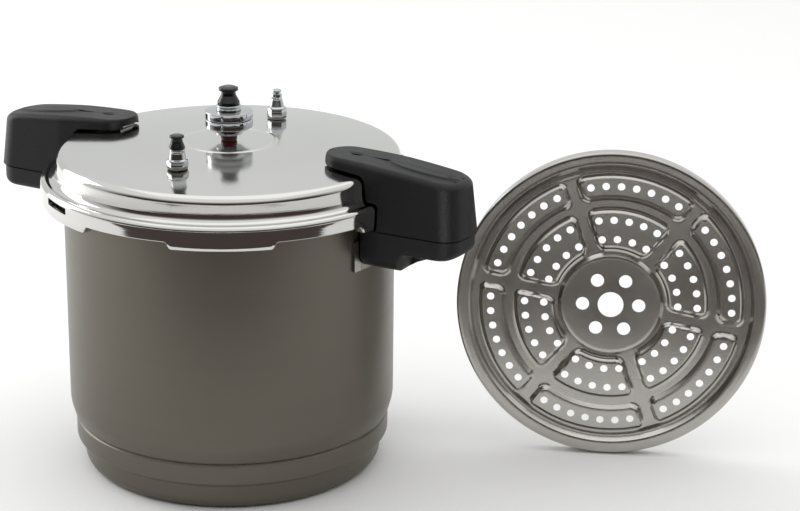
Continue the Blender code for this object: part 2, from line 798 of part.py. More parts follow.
def valve_xy(angle):
    """Where a valve stands, by its angle about the lid."""
    turn = math.radians(angle)
    return VALVE_OFFSET * math.cos(turn), VALVE_OFFSET * math.sin(turn)


def on_valve(obj, angle):
    """Moves a piece made on the pot's axis to a valve's place."""
    obj.matrix_basis = Matrix.Translation((*valve_xy(angle), 0))
    return obj


def valve_seal(name, angle):
    """A flat washer under a valve's base."""
    base = crown(VALVE_OFFSET) + 0.9 * MM
    profile = [
        (VALVE_STEM_R + GAP, base + 1.2 * MM),
        (8.0 * MM, base + 1.2 * MM),
        (8.0 * MM, base),
        (VALVE_STEM_R + GAP, base),
    ]
    return as_piece(on_valve(turned(name, profile, SMALL_ROUND, loop=True), angle), GREY_RUBBER)


def valve_hex(name, angle, across_flats, height):
    """A hexagon collar to be joined to a valve's body."""
    hexagon = rod(name, across_flats / math.sqrt(3), VALVE_BASE, VALVE_BASE + height, 6)
    core = rod(f"{name}_core", 5.0 * MM, 240 * MM, 300 * MM, SMALL_ROUND)
    cut(hexagon, on_valve(core, angle))
    return on_valve(hexagon, angle)


def release_body():
    """The safety valve's chromed housing: an orifice, a seat, a bore for the spring and a top wall."""
    profile = [
        (1.7 * MM, VALVE_BASE + 13.7 * MM),
        (5.7 * MM, VALVE_BASE + 13.7 * MM),
        (6.8 * MM, VALVE_BASE + 5.4 * MM),
        (8.0 * MM, VALVE_BASE + 4.8 * MM),
        (8.0 * MM, VALVE_BASE + 0.4 * MM),
        (VALVE_STEM_R, VALVE_BASE),
        (VALVE_STEM_R, VALVE_UNDER),
        (1.7 * MM, VALVE_UNDER),
        (1.7 * MM, VALVE_UNDER + 3.6 * MM),
        (3.0 * MM, VALVE_UNDER + 4.0 * MM),
        (3.0 * MM, VALVE_BASE + 12.4 * MM),
        (1.7 * MM, VALVE_BASE + 12.4 * MM),
    ]
    body = on_valve(turned("release_valve_body", profile, SMALL_ROUND, loop=True), RELEASE_ANGLE)
    boolean(body, valve_hex("release_valve_hex", RELEASE_ANGLE, 15.0 * MM, 4.6 * MM), "UNION")
    return as_piece(body, CHROME)


def release_cap():
    """The black pull cap, its stem and the flange that the spring bears on."""
    low = VALVE_BASE + 14.0 * MM
    flange = VALVE_UNDER + 6.6 * MM
    profile = [
        (0.0, low + 11.2 * MM),
        (3.8 * MM, low + 10.9 * MM),
        (5.5 * MM, low + 9.9 * MM),
        (5.4 * MM, low + 9.0 * MM),
        (3.9 * MM, low + 8.0 * MM),
        (6.2 * MM, low + 1.0 * MM),
        (6.0 * MM, low),
        (1.3 * MM, low),
        (1.3 * MM, flange + 1.0 * MM),
        (2.6 * MM, flange + 1.0 * MM),
        (2.6 * MM, flange),
        (0.0, flange),
    ]
    return as_piece(on_valve(turned("release_valve_cap", profile, SMALL_ROUND), RELEASE_ANGLE), GLOSS_BLACK)


def release_pad():
    """The sealing disc under the stem's flange, on the housing's seat."""
    low = VALVE_UNDER + 4.3 * MM
    pad = rod("release_valve_pad", 2.6 * MM, low, low + 2.0 * MM)
    return as_piece(on_valve(pad, RELEASE_ANGLE), RED_RUBBER)


def release_spring():
    """The coil between the stem's flange and the housing's top wall."""
    low, high = VALVE_UNDER + 8.3 * MM, VALVE_BASE + 11.8 * MM
    turns, per_turn, radius = 6, 8, 2.15 * MM
    x, y = valve_xy(RELEASE_ANGLE)
    curve = bpy.data.curves.new("release_valve_spring", "CURVE")
    curve.dimensions = "3D"
    curve.bevel_depth = 0.35 * MM
    curve.bevel_resolution = 0
    curve.use_fill_caps = True
    spline = curve.splines.new("POLY")
    spline.points.add(turns * per_turn)
    for i, point in enumerate(spline.points):
        angle = math.tau * i / per_turn
        height = low + (high - low) * i / (turns * per_turn)
        point.co = (x + radius * math.cos(angle), y + radius * math.sin(angle), height, 1.0)
    return as_piece(new_object("release_valve_spring", curve), STEEL)


def indicator_body():
    """The pressure indicator's chromed housing, tapering to the pin's mouth."""
    profile = [
        (2.1 * MM, VALVE_BASE + 19.0 * MM),
        (4.1 * MM, VALVE_BASE + 19.0 * MM),
        (6.3 * MM, VALVE_BASE + 8.0 * MM),
        (7.6 * MM, VALVE_BASE + 7.0 * MM),
        (7.6 * MM, VALVE_BASE + 0.4 * MM),
        (VALVE_STEM_R, VALVE_BASE),
        (VALVE_STEM_R, VALVE_UNDER),
        (2.1 * MM, VALVE_UNDER),
    ]
    body = on_valve(turned("indicator_body", profile, SMALL_ROUND, loop=True), INDICATOR_ANGLE)
    boolean(body, valve_hex("indicator_hex", INDICATOR_ANGLE, 14.4 * MM, 6.8 * MM), "UNION")
    return as_piece(body, CHROME)


def indicator_pin():
    """The pin that rises when the pot is under pressure, with its T-shaped head and lower stop."""
    low = VALVE_BASE + 19.3 * MM
    foot = VALVE_UNDER - 5.0 * MM
    profile = [
        (0.0, low + 3.2 * MM),
        (3.3 * MM, low + 3.0 * MM),
        (3.9 * MM, low + 2.2 * MM),
        (3.9 * MM, low + 1.2 * MM),
        (1.8 * MM, low + 0.6 * MM),
        (1.8 * MM, foot),
        (3.6 * MM, foot),
        (3.6 * MM, foot - 1.6 * MM),
        (0.0, foot - 1.6 * MM),
    ]
    return as_piece(on_valve(turned("indicator_pin", profile, 16), INDICATOR_ANGLE), CHROME)


# ---------------------------------------------------------------- rack


def rack():
    """The stamped rack, made lying on its back and then stood beside the pot."""
    front = [
        (0.0, RACK_DEPTH),
        (40.0 * MM, RACK_DEPTH),
        (43.8 * MM, RACK_DEPTH - 3.0 * MM),
        (111.0 * MM, RACK_DEPTH - 3.0 * MM),
        (117.0 * MM, RACK_DEPTH),
        (RACK_R - 1.0 * MM, RACK_DEPTH),
        (RACK_R, RACK_DEPTH - 1.0 * MM),
        (RACK_R, 0.0),
        (RACK_R - RACK_T, 0.0),
        (RACK_R - RACK_T, RACK_DEPTH - RACK_T),
        (117.3 * MM, RACK_DEPTH - RACK_T),
        (111.3 * MM, RACK_DEPTH - 3.0 * MM - RACK_T),
        (43.4 * MM, RACK_DEPTH - 3.0 * MM - RACK_T),
        (39.6 * MM, RACK_DEPTH - RACK_T),
        (0.0, RACK_DEPTH - RACK_T),
    ]
    plate = turned("rack", front)
    holes = [rod("rack_centre_hole", 10.6 * MM, 0, 30 * MM, 16)]
    holes += hole_ring("hub", 23.1 * MM, 5.4 * MM, [60 * i for i in range(6)])
    holes += hole_ring("inner", 55.0 * MM, 3.1 * MM, spread(4, 13.0))
    holes += hole_ring("middle", 70.9 * MM, 3.1 * MM, spread(5, 10.0))
    holes += hole_ring("outer", 99.1 * MM, 3.1 * MM, spread(7, 7.2))
    cut(plate, joined("rack_holes", holes))
    lift = RACK_DEPTH * math.sin(math.radians(RACK_LEAN)) + 0.2 * MM
    stand = (
        Matrix.Translation((RACK_FOOT_X, RACK_FOOT_Y, lift))
        @ Matrix.Rotation(math.radians(RACK_TURN), 4, "Z")
        @ Matrix.Rotation(math.radians(90 - RACK_LEAN), 4, "X")
        @ Matrix.Translation((0, RACK_R, -RACK_DEPTH))
    )
    plate.matrix_basis = stand
    plate.modifiers[-1].object.matrix_basis = stand
    return as_piece(plate, STEEL)


def spread(count, pitch):
    """Angles of a row of holes in each of the rack's six sectors."""
    return [
        sector * 60 + 20 + pitch * (i - (count - 1) / 2) for sector in range(6) for i in range(count)
    ]


def hole_ring(name, radius, hole_r, angles):
    holes = []
    for i, angle in enumerate(angles):
        hole = rod(f"rack_{name}_hole_{i}", hole_r, 0, 30 * MM, 6)
        place = Vector((radius * math.cos(math.radians(angle)), radius * math.sin(math.radians(angle)), 0))
        hole.data.transform(Matrix.Translation(place))
        holes.append(hole)
    return holes


def smooth_all():
    """Smooth shading with sharp edges kept, on every mesh of the assembly."""
    for obj in parts.objects:
        if obj.type == "MESH":
            obj.data.shade_smooth()
            if obj.data.polygons:
                obj.data.set_sharp_from_angle(angle=math.radians(35))


def build():
    clear_scene()
    pot_body()
    lid_shell()
    sealing_ring()
    for label, side in (("right", 0), ("left", 180)):
        pot_bracket(f"pot_bracket_{label}", side)
        pot_handle(f"pot_handle_{label}", side)
        screw(f"pot_handle_screw_{label}", side, POT_SCREW_X, POT_HEAD_Z, POT_SCREW_TOP)
        for letter, across in zip("ab", RIVET_SIDES):
            pot_rivet(f"pot_bracket_rivet_{label}_{letter}", side, across)
        lid_bracket(f"lid_bracket_{label}", side)
        lid_rivet(f"lid_bracket_rivet_{label}", side)
        lid_handle(f"lid_handle_{label}", side)
        screw(f"lid_handle_screw_{label}", side, LID_SCREW_X, LID_HEAD_Z, LID_SCREW_TOP)
    vent_pipe()
    vent_seal()
    hex_nut("vent_pipe_nut", 15 * MM, PIPE_R, 258.0 * MM, CROWN_TOP - LID_T - 0.5 * MM)
    regulator_core()
    regulator_ring("regulator_ring_lower", 276.3 * MM, 286.6 * MM, 13.0 * MM, 280.3 * MM)
    regulator_ring("regulator_ring_upper", 286.9 * MM, 293.3 * MM, RING_R - 0.5 * MM, 287.4 * MM)
    regulator_knob()
    release_body()
    release_cap()
    release_pad()
    release_spring()
    indicator_body()
    indicator_pin()
    valve_nut_top = crown(VALVE_OFFSET) - LID_T - 0.8 * MM
    for label, angle in (("release_valve", RELEASE_ANGLE), ("indicator", INDICATOR_ANGLE)):
        valve_seal(f"{label}_seal", angle)
        nut = hex_nut(f"{label}_nut", 13 * MM, VALVE_STEM_R, valve_nut_top - 4.5 * MM, valve_nut_top)
        on_valve(nut, angle)
        on_valve(nut.modifiers[0].object, angle)
    rack()
    smooth_all()


build()
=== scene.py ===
"""Looks of a pressure canner: fine meshes, finishes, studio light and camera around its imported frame.

Sizes are in millimetres and are turned to metres where a vertex is made. The frame's origin is the centre
of the pot's flat base, +Z is up, and +X runs through the right pair of handles.
"""

import json
import logging
import math
from collections.abc import Callable, Iterable, Sequence
from dataclasses import dataclass, field
from enum import Enum
from typing import Any

import bmesh
import bpy
from mathutils import Matrix, Vector

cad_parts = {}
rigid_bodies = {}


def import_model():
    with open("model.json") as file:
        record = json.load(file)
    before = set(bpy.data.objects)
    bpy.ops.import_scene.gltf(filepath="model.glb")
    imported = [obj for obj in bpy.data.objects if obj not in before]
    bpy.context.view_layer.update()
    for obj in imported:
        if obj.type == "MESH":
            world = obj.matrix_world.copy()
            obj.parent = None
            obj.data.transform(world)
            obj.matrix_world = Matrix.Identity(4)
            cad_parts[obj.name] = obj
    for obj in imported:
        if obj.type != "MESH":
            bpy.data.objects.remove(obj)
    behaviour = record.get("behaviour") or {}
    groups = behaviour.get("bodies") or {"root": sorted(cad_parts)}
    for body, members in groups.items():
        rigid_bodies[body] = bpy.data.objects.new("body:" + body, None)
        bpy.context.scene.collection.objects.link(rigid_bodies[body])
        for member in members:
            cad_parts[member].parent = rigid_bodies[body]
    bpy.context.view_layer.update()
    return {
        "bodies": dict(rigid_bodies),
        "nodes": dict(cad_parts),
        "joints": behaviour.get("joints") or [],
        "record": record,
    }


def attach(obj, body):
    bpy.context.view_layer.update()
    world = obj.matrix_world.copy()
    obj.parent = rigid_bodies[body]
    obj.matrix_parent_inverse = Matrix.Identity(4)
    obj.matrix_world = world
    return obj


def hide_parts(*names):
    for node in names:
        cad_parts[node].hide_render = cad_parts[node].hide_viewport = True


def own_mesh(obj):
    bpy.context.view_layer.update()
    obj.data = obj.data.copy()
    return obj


MM = 0.001
VALVE_RADIUS = 82.8
RELIEF_ANGLE = -86.0
INDICATOR_ANGLE = 94.0
LOG = logging.getLogger("pressure_canner")

Point = tuple[float, float]
Corner = tuple[float, float, float]
Outline = Sequence[Point]


# ---------------------------------------------------------------- small maths


def smoothstep(low: float, high: float, value: float) -> float:
    """Eases from 0 at low to 1 at high."""
    share = min(1.0, max(0.0, (value - low) / (high - low)))
    return share * share * (3.0 - 2.0 * share)


def rounded(corners: Sequence[Corner], steps: int = 5) -> list[Point]:
    """Rounds the corners of an outline.

    Args:
        corners: (x, y, radius) for each corner, and a radius of 0 keeps it sharp.
        steps: pieces in each arc.

    Returns:
        The outline's points, in order.
    """
    points: list[Point] = []
    for i, (x, y, radius) in enumerate(corners):
        here = Vector((x, y))
        if radius <= 0:
            points.append((x, y))
            continue
        before = (Vector(corners[i - 1][:2]) - here).normalized()
        after = (Vector(corners[(i + 1) % len(corners)][:2]) - here).normalized()
        half = before.angle(after) / 2
        centre = here + (before + after).normalized() * (radius / math.sin(half))
        first = here + before * (radius / math.tan(half)) - centre
        last = here + after * (radius / math.tan(half)) - centre
        sweep = first.angle_signed(last)
        for k in range(steps + 1):
            points.append(tuple(centre + Matrix.Rotation(-sweep * k / steps, 2) @ first))
    return points


def arc(centre: Point, radius: float, start: float, end: float, steps: int) -> list[Point]:
    """Points on an arc, by angle in degrees from the first axis towards the second."""
    angles = [math.radians(start + (end - start) * i / steps) for i in range(steps + 1)]
    return [(centre[0] + radius * math.cos(a), centre[1] + radius * math.sin(a)) for a in angles]


def evenly_spaced(outline: Outline, count: int) -> list[Point]:
    """Resamples a closed outline.

    Args:
        outline: the points of the closed outline.
        count: how many points it should have.

    Returns:
        Points at equal distances along it, starting from its first point.
    """
    loop = [Vector(p) for p in outline] + [Vector(outline[0])]
    lengths = [(b - a).length for a, b in zip(loop, loop[1:])]
    step = sum(lengths) / count
    points: list[Point] = []
    done = 0.0
    for start, end, length in zip(loop, loop[1:], lengths):
        while len(points) < count and len(points) * step < done + length:
            points.append(tuple(start.lerp(end, (len(points) * step - done) / length)))
        done += length
    return points


# ---------------------------------------------------------------- meshes


def spun(profile: Outline, steps: int = 96, closed: bool = False) -> bmesh.types.BMesh:
    """Turns a profile about Z.

    Args:
        profile: (radius, height) pairs.
        steps: faces round the axis.
        closed: whether the profile's last point joins its first, as on a ring.

    Returns:
        A closed mesh with its normals outwards.
    """
    shape = bmesh.new()
    ring = [shape.verts.new((r * MM, 0.0, z * MM)) for r, z in profile]
    edges = [shape.edges.new(pair) for pair in zip(ring, ring[1:])]
    if closed:
        edges.append(shape.edges.new((ring[-1], ring[0])))
    bmesh.ops.spin(
        shape, geom=ring + edges, cent=(0, 0, 0), axis=(0, 0, 1), angle=math.tau, steps=steps, use_merge=True
    )
    bmesh.ops.remove_doubles(shape, verts=shape.verts, dist=1e-6)
    bmesh.ops.recalc_face_normals(shape, faces=shape.faces)
    return shape


def lofted(loops: Sequence[Sequence[Vector]]) -> bmesh.types.BMesh:
    """Grows a skin from loop to loop through a stack with as many points each, and closes its two ends.

    Args:
        loops: the loops in millimetres, from one end to the other.

    Returns:
        A closed mesh with its normals outwards.
    """
    shape = bmesh.new()
    verts = [shape.verts.new(p * MM) for p in loops[0]]
    edges = [shape.edges.new((verts[i - 1], verts[i])) for i in range(len(verts))]
    shape.faces.new(verts)
    for loop in loops[1:]:
        grown = bmesh.ops.extrude_edge_only(shape, edges=edges)["geom"]
        fresh = {g for g in grown if isinstance(g, bmesh.types.BMVert)}
        verts = [next(e.other_vert(v) for e in v.link_edges if e.other_vert(v) in fresh) for v in verts]
        edges = [g for g in grown if isinstance(g, bmesh.types.BMEdge) and fresh.issuperset(g.verts)]
        for vert, point in zip(verts, loop):
            vert.co = point * MM
    bmesh.ops.triangulate(shape, faces=[shape.faces.new(verts)], ngon_method="BEAUTY")
    bmesh.ops.recalc_face_normals(shape, faces=shape.faces)
    return shape


def block(low: Corner, high: Corner, round_by: float = 0.0) -> bmesh.types.BMesh:
    """Makes a box with rounded edges.

    Args:
        low: its lowest corner, in millimetres.
        high: its highest corner.
        round_by: how wide its edges are rounded.

    Returns:
        The box's mesh.
    """
    shape = bmesh.new()
    bmesh.ops.create_cube(shape, size=1.0)
    size = Vector(high) - Vector(low)
    middle = (Vector(high) + Vector(low)) / 2
    bmesh.ops.scale(shape, vec=size * MM, verts=shape.verts)
    bmesh.ops.translate(shape, vec=middle * MM, verts=shape.verts)
    if round_by:
        bevelled(shape, shape.edges, round_by, 3)
    return shape


def bevelled(
    shape: bmesh.types.BMesh, edges: Iterable[bmesh.types.BMEdge], width: float, segments: int = 2
) -> None:
    """Rounds some edges of a mesh.

    Args:
        shape: the mesh.
        edges: the edges.
        width: how wide they are rounded, in millimetres.
        segments: how many faces each edge becomes.
    """
    bmesh.ops.bevel(
        shape, geom=list(edges), offset=width * MM, segments=segments, profile=0.5, affect="EDGES", material=-1
    )


def hexagon(across_flats: float, low: float, high: float) -> bmesh.types.BMesh:
    """Makes a hexagonal prism on the Z axis with softened edges.

    Args:
        across_flats: its size between two flats, in millimetres.
        low: height of its underside.
        high: height of its top.

    Returns:
        The prism's mesh.
    """
    shape = bmesh.new()
    radius = across_flats / math.sqrt(3) * MM
    bmesh.ops.create_cone(
        shape, cap_ends=True, segments=6, radius1=radius, radius2=radius, depth=(high - low) * MM
    )
    bmesh.ops.translate(shape, verts=shape.verts, vec=(0, 0, (high + low) / 2 * MM))
    bevelled(shape, shape.edges, 0.5, 2)
    return shape


def place(shape: bmesh.types.BMesh, matrix: Matrix) -> bmesh.types.BMesh:
    """Moves a mesh by a matrix and returns it."""
    bmesh.ops.transform(shape, matrix=matrix, verts=shape.verts)
    return shape


def mesh_object(name: str, shape: bmesh.types.BMesh) -> bpy.types.Object:
    """Makes an object from a bmesh.

    Args:
        name: the object's name.
        shape: its mesh, which is freed.

    Returns:
        The object, linked to the scene.
    """
    mesh = bpy.data.meshes.new(name)
    shape.to_mesh(mesh)
    shape.free()
    obj = bpy.data.objects.new(name, mesh)
    bpy.context.scene.collection.objects.link(obj)
    return obj


def carve(obj: bpy.types.Object, cutters: Sequence[bmesh.types.BMesh]) -> bpy.types.Object:
    """Cuts several shapes out of an object for good.

    Args:
        obj: the object to cut.
        cutters: closed meshes that don't touch each other.

    Returns:
        The same object.
    """
    helper = mesh_object(f"{obj.name}_cutter", bmesh.new())
    merged = bmesh.new()
    for cutter in cutters:
        piece = bpy.data.meshes.new("cutter")
        cutter.to_mesh(piece)
        cutter.free()
        merged.from_mesh(piece)
        bpy.data.meshes.remove(piece)
    merged.to_mesh(helper.data)
    merged.free()
    modifier = obj.modifiers.new("Carve", "BOOLEAN")
    modifier.operation = "DIFFERENCE"
    modifier.object = helper
    settle(obj)
    bpy.data.objects.remove(helper, do_unlink=True)
    return obj


def settle(obj: bpy.types.Object) -> None:
    """Applies an object's modifiers to its mesh.

    Args:
        obj: the object, which has none left afterwards.
    """
    graph = bpy.context.evaluated_depsgraph_get()
    mesh = bpy.data.meshes.new_from_object(obj.evaluated_get(graph))
    obj.modifiers.clear()
    obj.data = mesh


# ---------------------------------------------------------------- finishes


def linear(colour: str) -> tuple[float, float, float, float]:
    """Turns an sRGB hex value such as #5f5b54 to linear red, green, blue and alpha."""
    shares = [int(colour[i : i + 2], 16) / 255 for i in (1, 3, 5)]
    return (*(c / 12.92 if c <= 0.04045 else ((c + 0.055) / 1.055) ** 2.4 for c in shares), 1.0)


def add_node(
    tree: bpy.types.NodeTree, kind: str, settings: dict[str, Any], links: dict[Any, Any]
) -> bpy.types.Node:
    """Adds a node to a tree.

    Args:
        tree: the material's node tree.
        kind: the node's type, such as ShaderNodeTexNoise.
        settings: the node's own properties.
        links: by input name or number, either a value or an output socket to link.

    Returns:
        The new node.
    """
    node = tree.nodes.new(kind)
    for name, value in settings.items():
        setattr(node, name, value)
    for name, value in links.items():
        if isinstance(value, bpy.types.NodeSocket):
            tree.links.new(value, node.inputs[name])
        else:
            node.inputs[name].default_value = value
    return node


class Slot(Enum):
    """The record's material slots."""

    POT = "anodised_pot"
    LID = "polished_lid"
    RACK = "rack_sheet"
    STEEL = "bright_steel"
    CHROME = "chrome_fittings"
    HANDLE = "phenolic_handles"
    KNOB = "gloss_black_knobs"
    RED = "red_rubber"
    GREY = "grey_rubber"


@dataclass(frozen=True)
class Finish:
    """A surface: what it is made of, and the uneven grain that keeps it from looking flat.

    The grain is noise on Object coordinates. It shifts the roughness and the colour and lifts a bump.
    """

    name: str
    colour: str
    shade: str
    metallic: float
    roughness: float
    rough_spread: float = 0.05
    grain_mm: float = 1.0
    bump: float = 0.05
    ior: float = 1.5
    stretch: Corner = (1.0, 1.0, 1.0)

    def build(self) -> bpy.types.Material:
        """Makes the material.

        Returns:
            The material, with its grain on Object coordinates.
        """
        material = bpy.data.materials.new(self.name)
        material.use_nodes = True
        tree = material.node_tree
        shader = tree.nodes["Principled BSDF"]
        where = self.coordinates(tree)
        grain = add_node(
            tree,
            "ShaderNodeTexNoise",
            {"noise_dimensions": "3D"},
            {"Vector": where, "Scale": 1.0 / (self.grain_mm * MM), "Detail": 3.0, "Roughness": 0.6},
        )
        blotch = add_node(
            tree, "ShaderNodeTexNoise", {}, {"Vector": where, "Scale": 22.0, "Detail": 3.0, "Roughness": 0.55}
        )
        self.dress(tree, shader, grain, blotch)
        return material

    def coordinates(self, tree: bpy.types.NodeTree) -> bpy.types.NodeSocket:
        """Says where the grain is read.

        Args:
            tree: the material's node tree.

        Returns:
            The socket of the grain's place.
        """
        source = add_node(tree, "ShaderNodeTexCoord", {}, {})
        mapping = add_node(
            tree, "ShaderNodeMapping", {}, {"Vector": source.outputs["Object"], "Scale": self.stretch}
        )
        return mapping.outputs["Vector"]

    def dress(
        self, tree: bpy.types.NodeTree, shader: bpy.types.Node, grain: bpy.types.Node, blotch: bpy.types.Node
    ) -> None:
        """Sets the shader's sockets and links the grain to them.

        Args:
            tree: the material's node tree.
            shader: its Principled BSDF.
            grain: fine noise, for the roughness and the bump.
            blotch: slow noise, for the colour.
        """
        ramp = add_node(
            tree,
            "ShaderNodeMix",
            {"data_type": "RGBA"},
            {"Factor": blotch.outputs["Fac"], 6: linear(self.shade), 7: linear(self.colour)},
        )
        tree.links.new(ramp.outputs[2], shader.inputs["Base Color"])
        tree.links.new(self.roughness_of(tree, grain, blotch), shader.inputs["Roughness"])
        bump = add_node(
            tree,
            "ShaderNodeBump",
            {},
            {"Height": grain.outputs["Fac"], "Strength": self.bump, "Distance": self.grain_mm * MM},
        )
        tree.links.new(bump.outputs["Normal"], shader.inputs["Normal"])
        shader.inputs["Metallic"].default_value = self.metallic
        shader.inputs["IOR"].default_value = self.ior

    def roughness_of(
        self, tree: bpy.types.NodeTree, grain: bpy.types.Node, blotch: bpy.types.Node
    ) -> bpy.types.NodeSocket:
        """Spreads the roughness unevenly.

        Args:
            tree: the material's node tree.
            grain: fine noise.
            blotch: slow noise.

        Returns:
            The socket of the roughness.
        """
        both = add_node(
            tree, "ShaderNodeMath", {"operation": "ADD"}, {0: grain.outputs["Fac"], 1: blotch.outputs["Fac"]}
        )
        spread = add_node(
            tree,
            "ShaderNodeMapRange",
            {},
            {
                "Value": both.outputs[0],
                "From Min": 0.6,
                "From Max": 1.4,
                "To Min": max(0.0, self.roughness - self.rough_spread),
                "To Max": self.roughness + self.rough_spread,
            },
        )
        return spread.outputs["Result"]


@dataclass(frozen=True)
class SpunFinish(Finish):
    """Metal worked on a lathe: its grain is rings about Z, and its top can be more satin than its sides."""

    satin_above: float = 1000.0
    satin_roughness: float = 0.2

    def coordinates(self, tree: bpy.types.NodeTree) -> bpy.types.NodeSocket:
        """Reads the grain by radius and height, so that it runs round the axis.

        Args:
            tree: the material's node tree.

        Returns:
            The socket of the grain's place.
        """
        source = add_node(tree, "ShaderNodeTexCoord", {}, {})
        apart = add_node(tree, "ShaderNodeSeparateXYZ", {}, {"Vector": source.outputs["Object"]})
        flat = add_node(
            tree, "ShaderNodeCombineXYZ", {}, {"X": apart.outputs["X"], "Y": apart.outputs["Y"], "Z": 0.0}
        )
        radius = add_node(tree, "ShaderNodeVectorMath", {"operation": "LENGTH"}, {0: flat.outputs[0]})
        slow = add_node(
            tree, "ShaderNodeMath", {"operation": "MULTIPLY"}, {0: apart.outputs["X"], 1: self.stretch[0]}
        )
        ring = add_node(
            tree,
            "ShaderNodeCombineXYZ",
            {},
            {"X": radius.outputs["Value"], "Y": apart.outputs["Z"], "Z": slow.outputs[0]},
        )
        return ring.outputs[0]

    def roughness_of(
        self, tree: bpy.types.NodeTree, grain: bpy.types.Node, blotch: bpy.types.Node
    ) -> bpy.types.NodeSocket:
        """Keeps the metal polished below satin_above millimetres and satin over it.

        Args:
            tree: the material's node tree.
            grain: fine noise.
            blotch: slow noise.

        Returns:
            The socket of the roughness.
        """
        polished = super().roughness_of(tree, grain, blotch)
        source = add_node(tree, "ShaderNodeTexCoord", {}, {})
        apart = add_node(tree, "ShaderNodeSeparateXYZ", {}, {"Vector": source.outputs["Object"]})
        top = add_node(
            tree,
            "ShaderNodeMapRange",
            {},
            {
                "Value": apart.outputs["Z"],
                "From Min": (self.satin_above - 0.6) * MM,
                "From Max": (self.satin_above + 0.6) * MM,
            },
        )
        mixed = add_node(
            tree,
            "ShaderNodeMix",
            {"data_type": "FLOAT"},
            {"Factor": top.outputs["Result"], 2: polished, 3: self.satin_roughness},
        )
        return mixed.outputs[0]


FINISHES: dict[Slot, Finish] = {
    # Drawn aluminium, hard anodised: a thick oxide, warm grey-brown, satin and finely uneven.
    Slot.POT: SpunFinish(
        "hard_anodised_aluminium", "#6f6a61", "#645f57", 0.85, 0.37, 0.05, 0.9, 0.05, stretch=(0.05, 1, 1)
    ),
    # Pressed aluminium, buffed on its sides and satin on top, with faint rings from the lathe.
    Slot.LID: SpunFinish(
        "buffed_aluminium", "#d3d2cf", "#c8c7c4", 1.0, 0.07, 0.03, 0.7, 0.02,
        stretch=(0.03, 1, 1), satin_above=262.6, satin_roughness=0.12,
    ),
    # Stamped aluminium sheet, tumbled until its edges shine.
    Slot.RACK: Finish("stamped_aluminium_sheet", "#c3c0bb", "#adaaa5", 1.0, 0.20, 0.06, 1.2, 0.06),
    # Zinc-plated mild steel: pale and fairly sharp.
    Slot.STEEL: Finish("zinc_plated_steel", "#a9a7a3", "#98958f", 1.0, 0.24, 0.06, 0.8, 0.04),
    # Bright nickel-chrome plate on turned brass: almost a mirror.
    Slot.CHROME: Finish("chrome_plated_brass", "#c3c6c8", "#b7babc", 1.0, 0.05, 0.02, 0.8, 0.01),
    # Moulded phenolic with a spark-eroded pebble grain: black, soft sheen, speckled where the light catches it.
    # The real 0.4 mm grain is too fine to show, so it is drawn at 1.1 mm.
    Slot.HANDLE: Finish("moulded_phenolic", "#0e0d0f", "#0a090b", 0.0, 0.42, 0.07, 1.1, 0.3, ior=1.37),
    # The same resin moulded in polished steel: glossy.
    Slot.KNOB: Finish("gloss_phenolic", "#0c0b0c", "#080808", 0.0, 0.16, 0.03, 1.5, 0.02, ior=1.5),
    # Moulded silicone, dark red: soft sheen.
    Slot.RED: Finish("red_silicone", "#5f1b1e", "#4e1416", 0.0, 0.42, 0.05, 0.8, 0.05, ior=1.42),
    # Moulded silicone, pale grey and dull.
    Slot.GREY: Finish("grey_silicone", "#8c8b88", "#7d7c79", 0.0, 0.50, 0.05, 0.8, 0.08, ior=1.5),
}


class Workshop:
    """Makes pieces from meshes, gives them their finishes and hangs them on the frame."""

    def __init__(self, frame: dict[str, Any]) -> None:
        """Keeps the frame and makes the finishes."""
        self.frame = frame
        self.materials = {slot: finish.build() for slot, finish in FINISHES.items()}

    def piece(
        self,
        name: str,
        shape: bmesh.types.BMesh | bpy.types.Object,
        slot: Slot,
        body: str,
        nodes: Sequence[str] = (),
    ) -> bpy.types.Object:
        """Finishes a piece and makes it ride on a body.

        Args:
            name: the piece's name.
            shape: its mesh, or an object already made from one.
            slot: the material slot it takes its finish from.
            body: the frame's body that it moves with.
            nodes: the frame's nodes that it stands for.

        Returns:
            The piece.
        """
        obj = shape if isinstance(shape, bpy.types.Object) else mesh_object(name, shape)
        obj.name = obj.data.name = name
        obj.data.shade_smooth()
        obj.data.set_sharp_from_angle(angle=math.radians(32))
        obj.data.materials.clear()
        obj.data.materials.append(self.materials[slot])
        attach(obj, body)
        if nodes:
            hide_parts(*nodes)
        LOG.info("%s: %d faces on %s", name, len(obj.data.polygons), body)
        return obj

    def dress(self, slot: Slot, nodes: Iterable[str]) -> None:
        """Gives nodes that keep their own shape a finish.

        Args:
            slot: the material slot of the finish.
            nodes: the nodes' names.
        """
        for node in nodes:
            obj = self.frame["nodes"][node]
            obj.data.materials.clear()
            obj.data.materials.append(self.materials[slot])
            LOG.info("%s keeps its shape", node)


# ---------------------------------------------------------------- pot


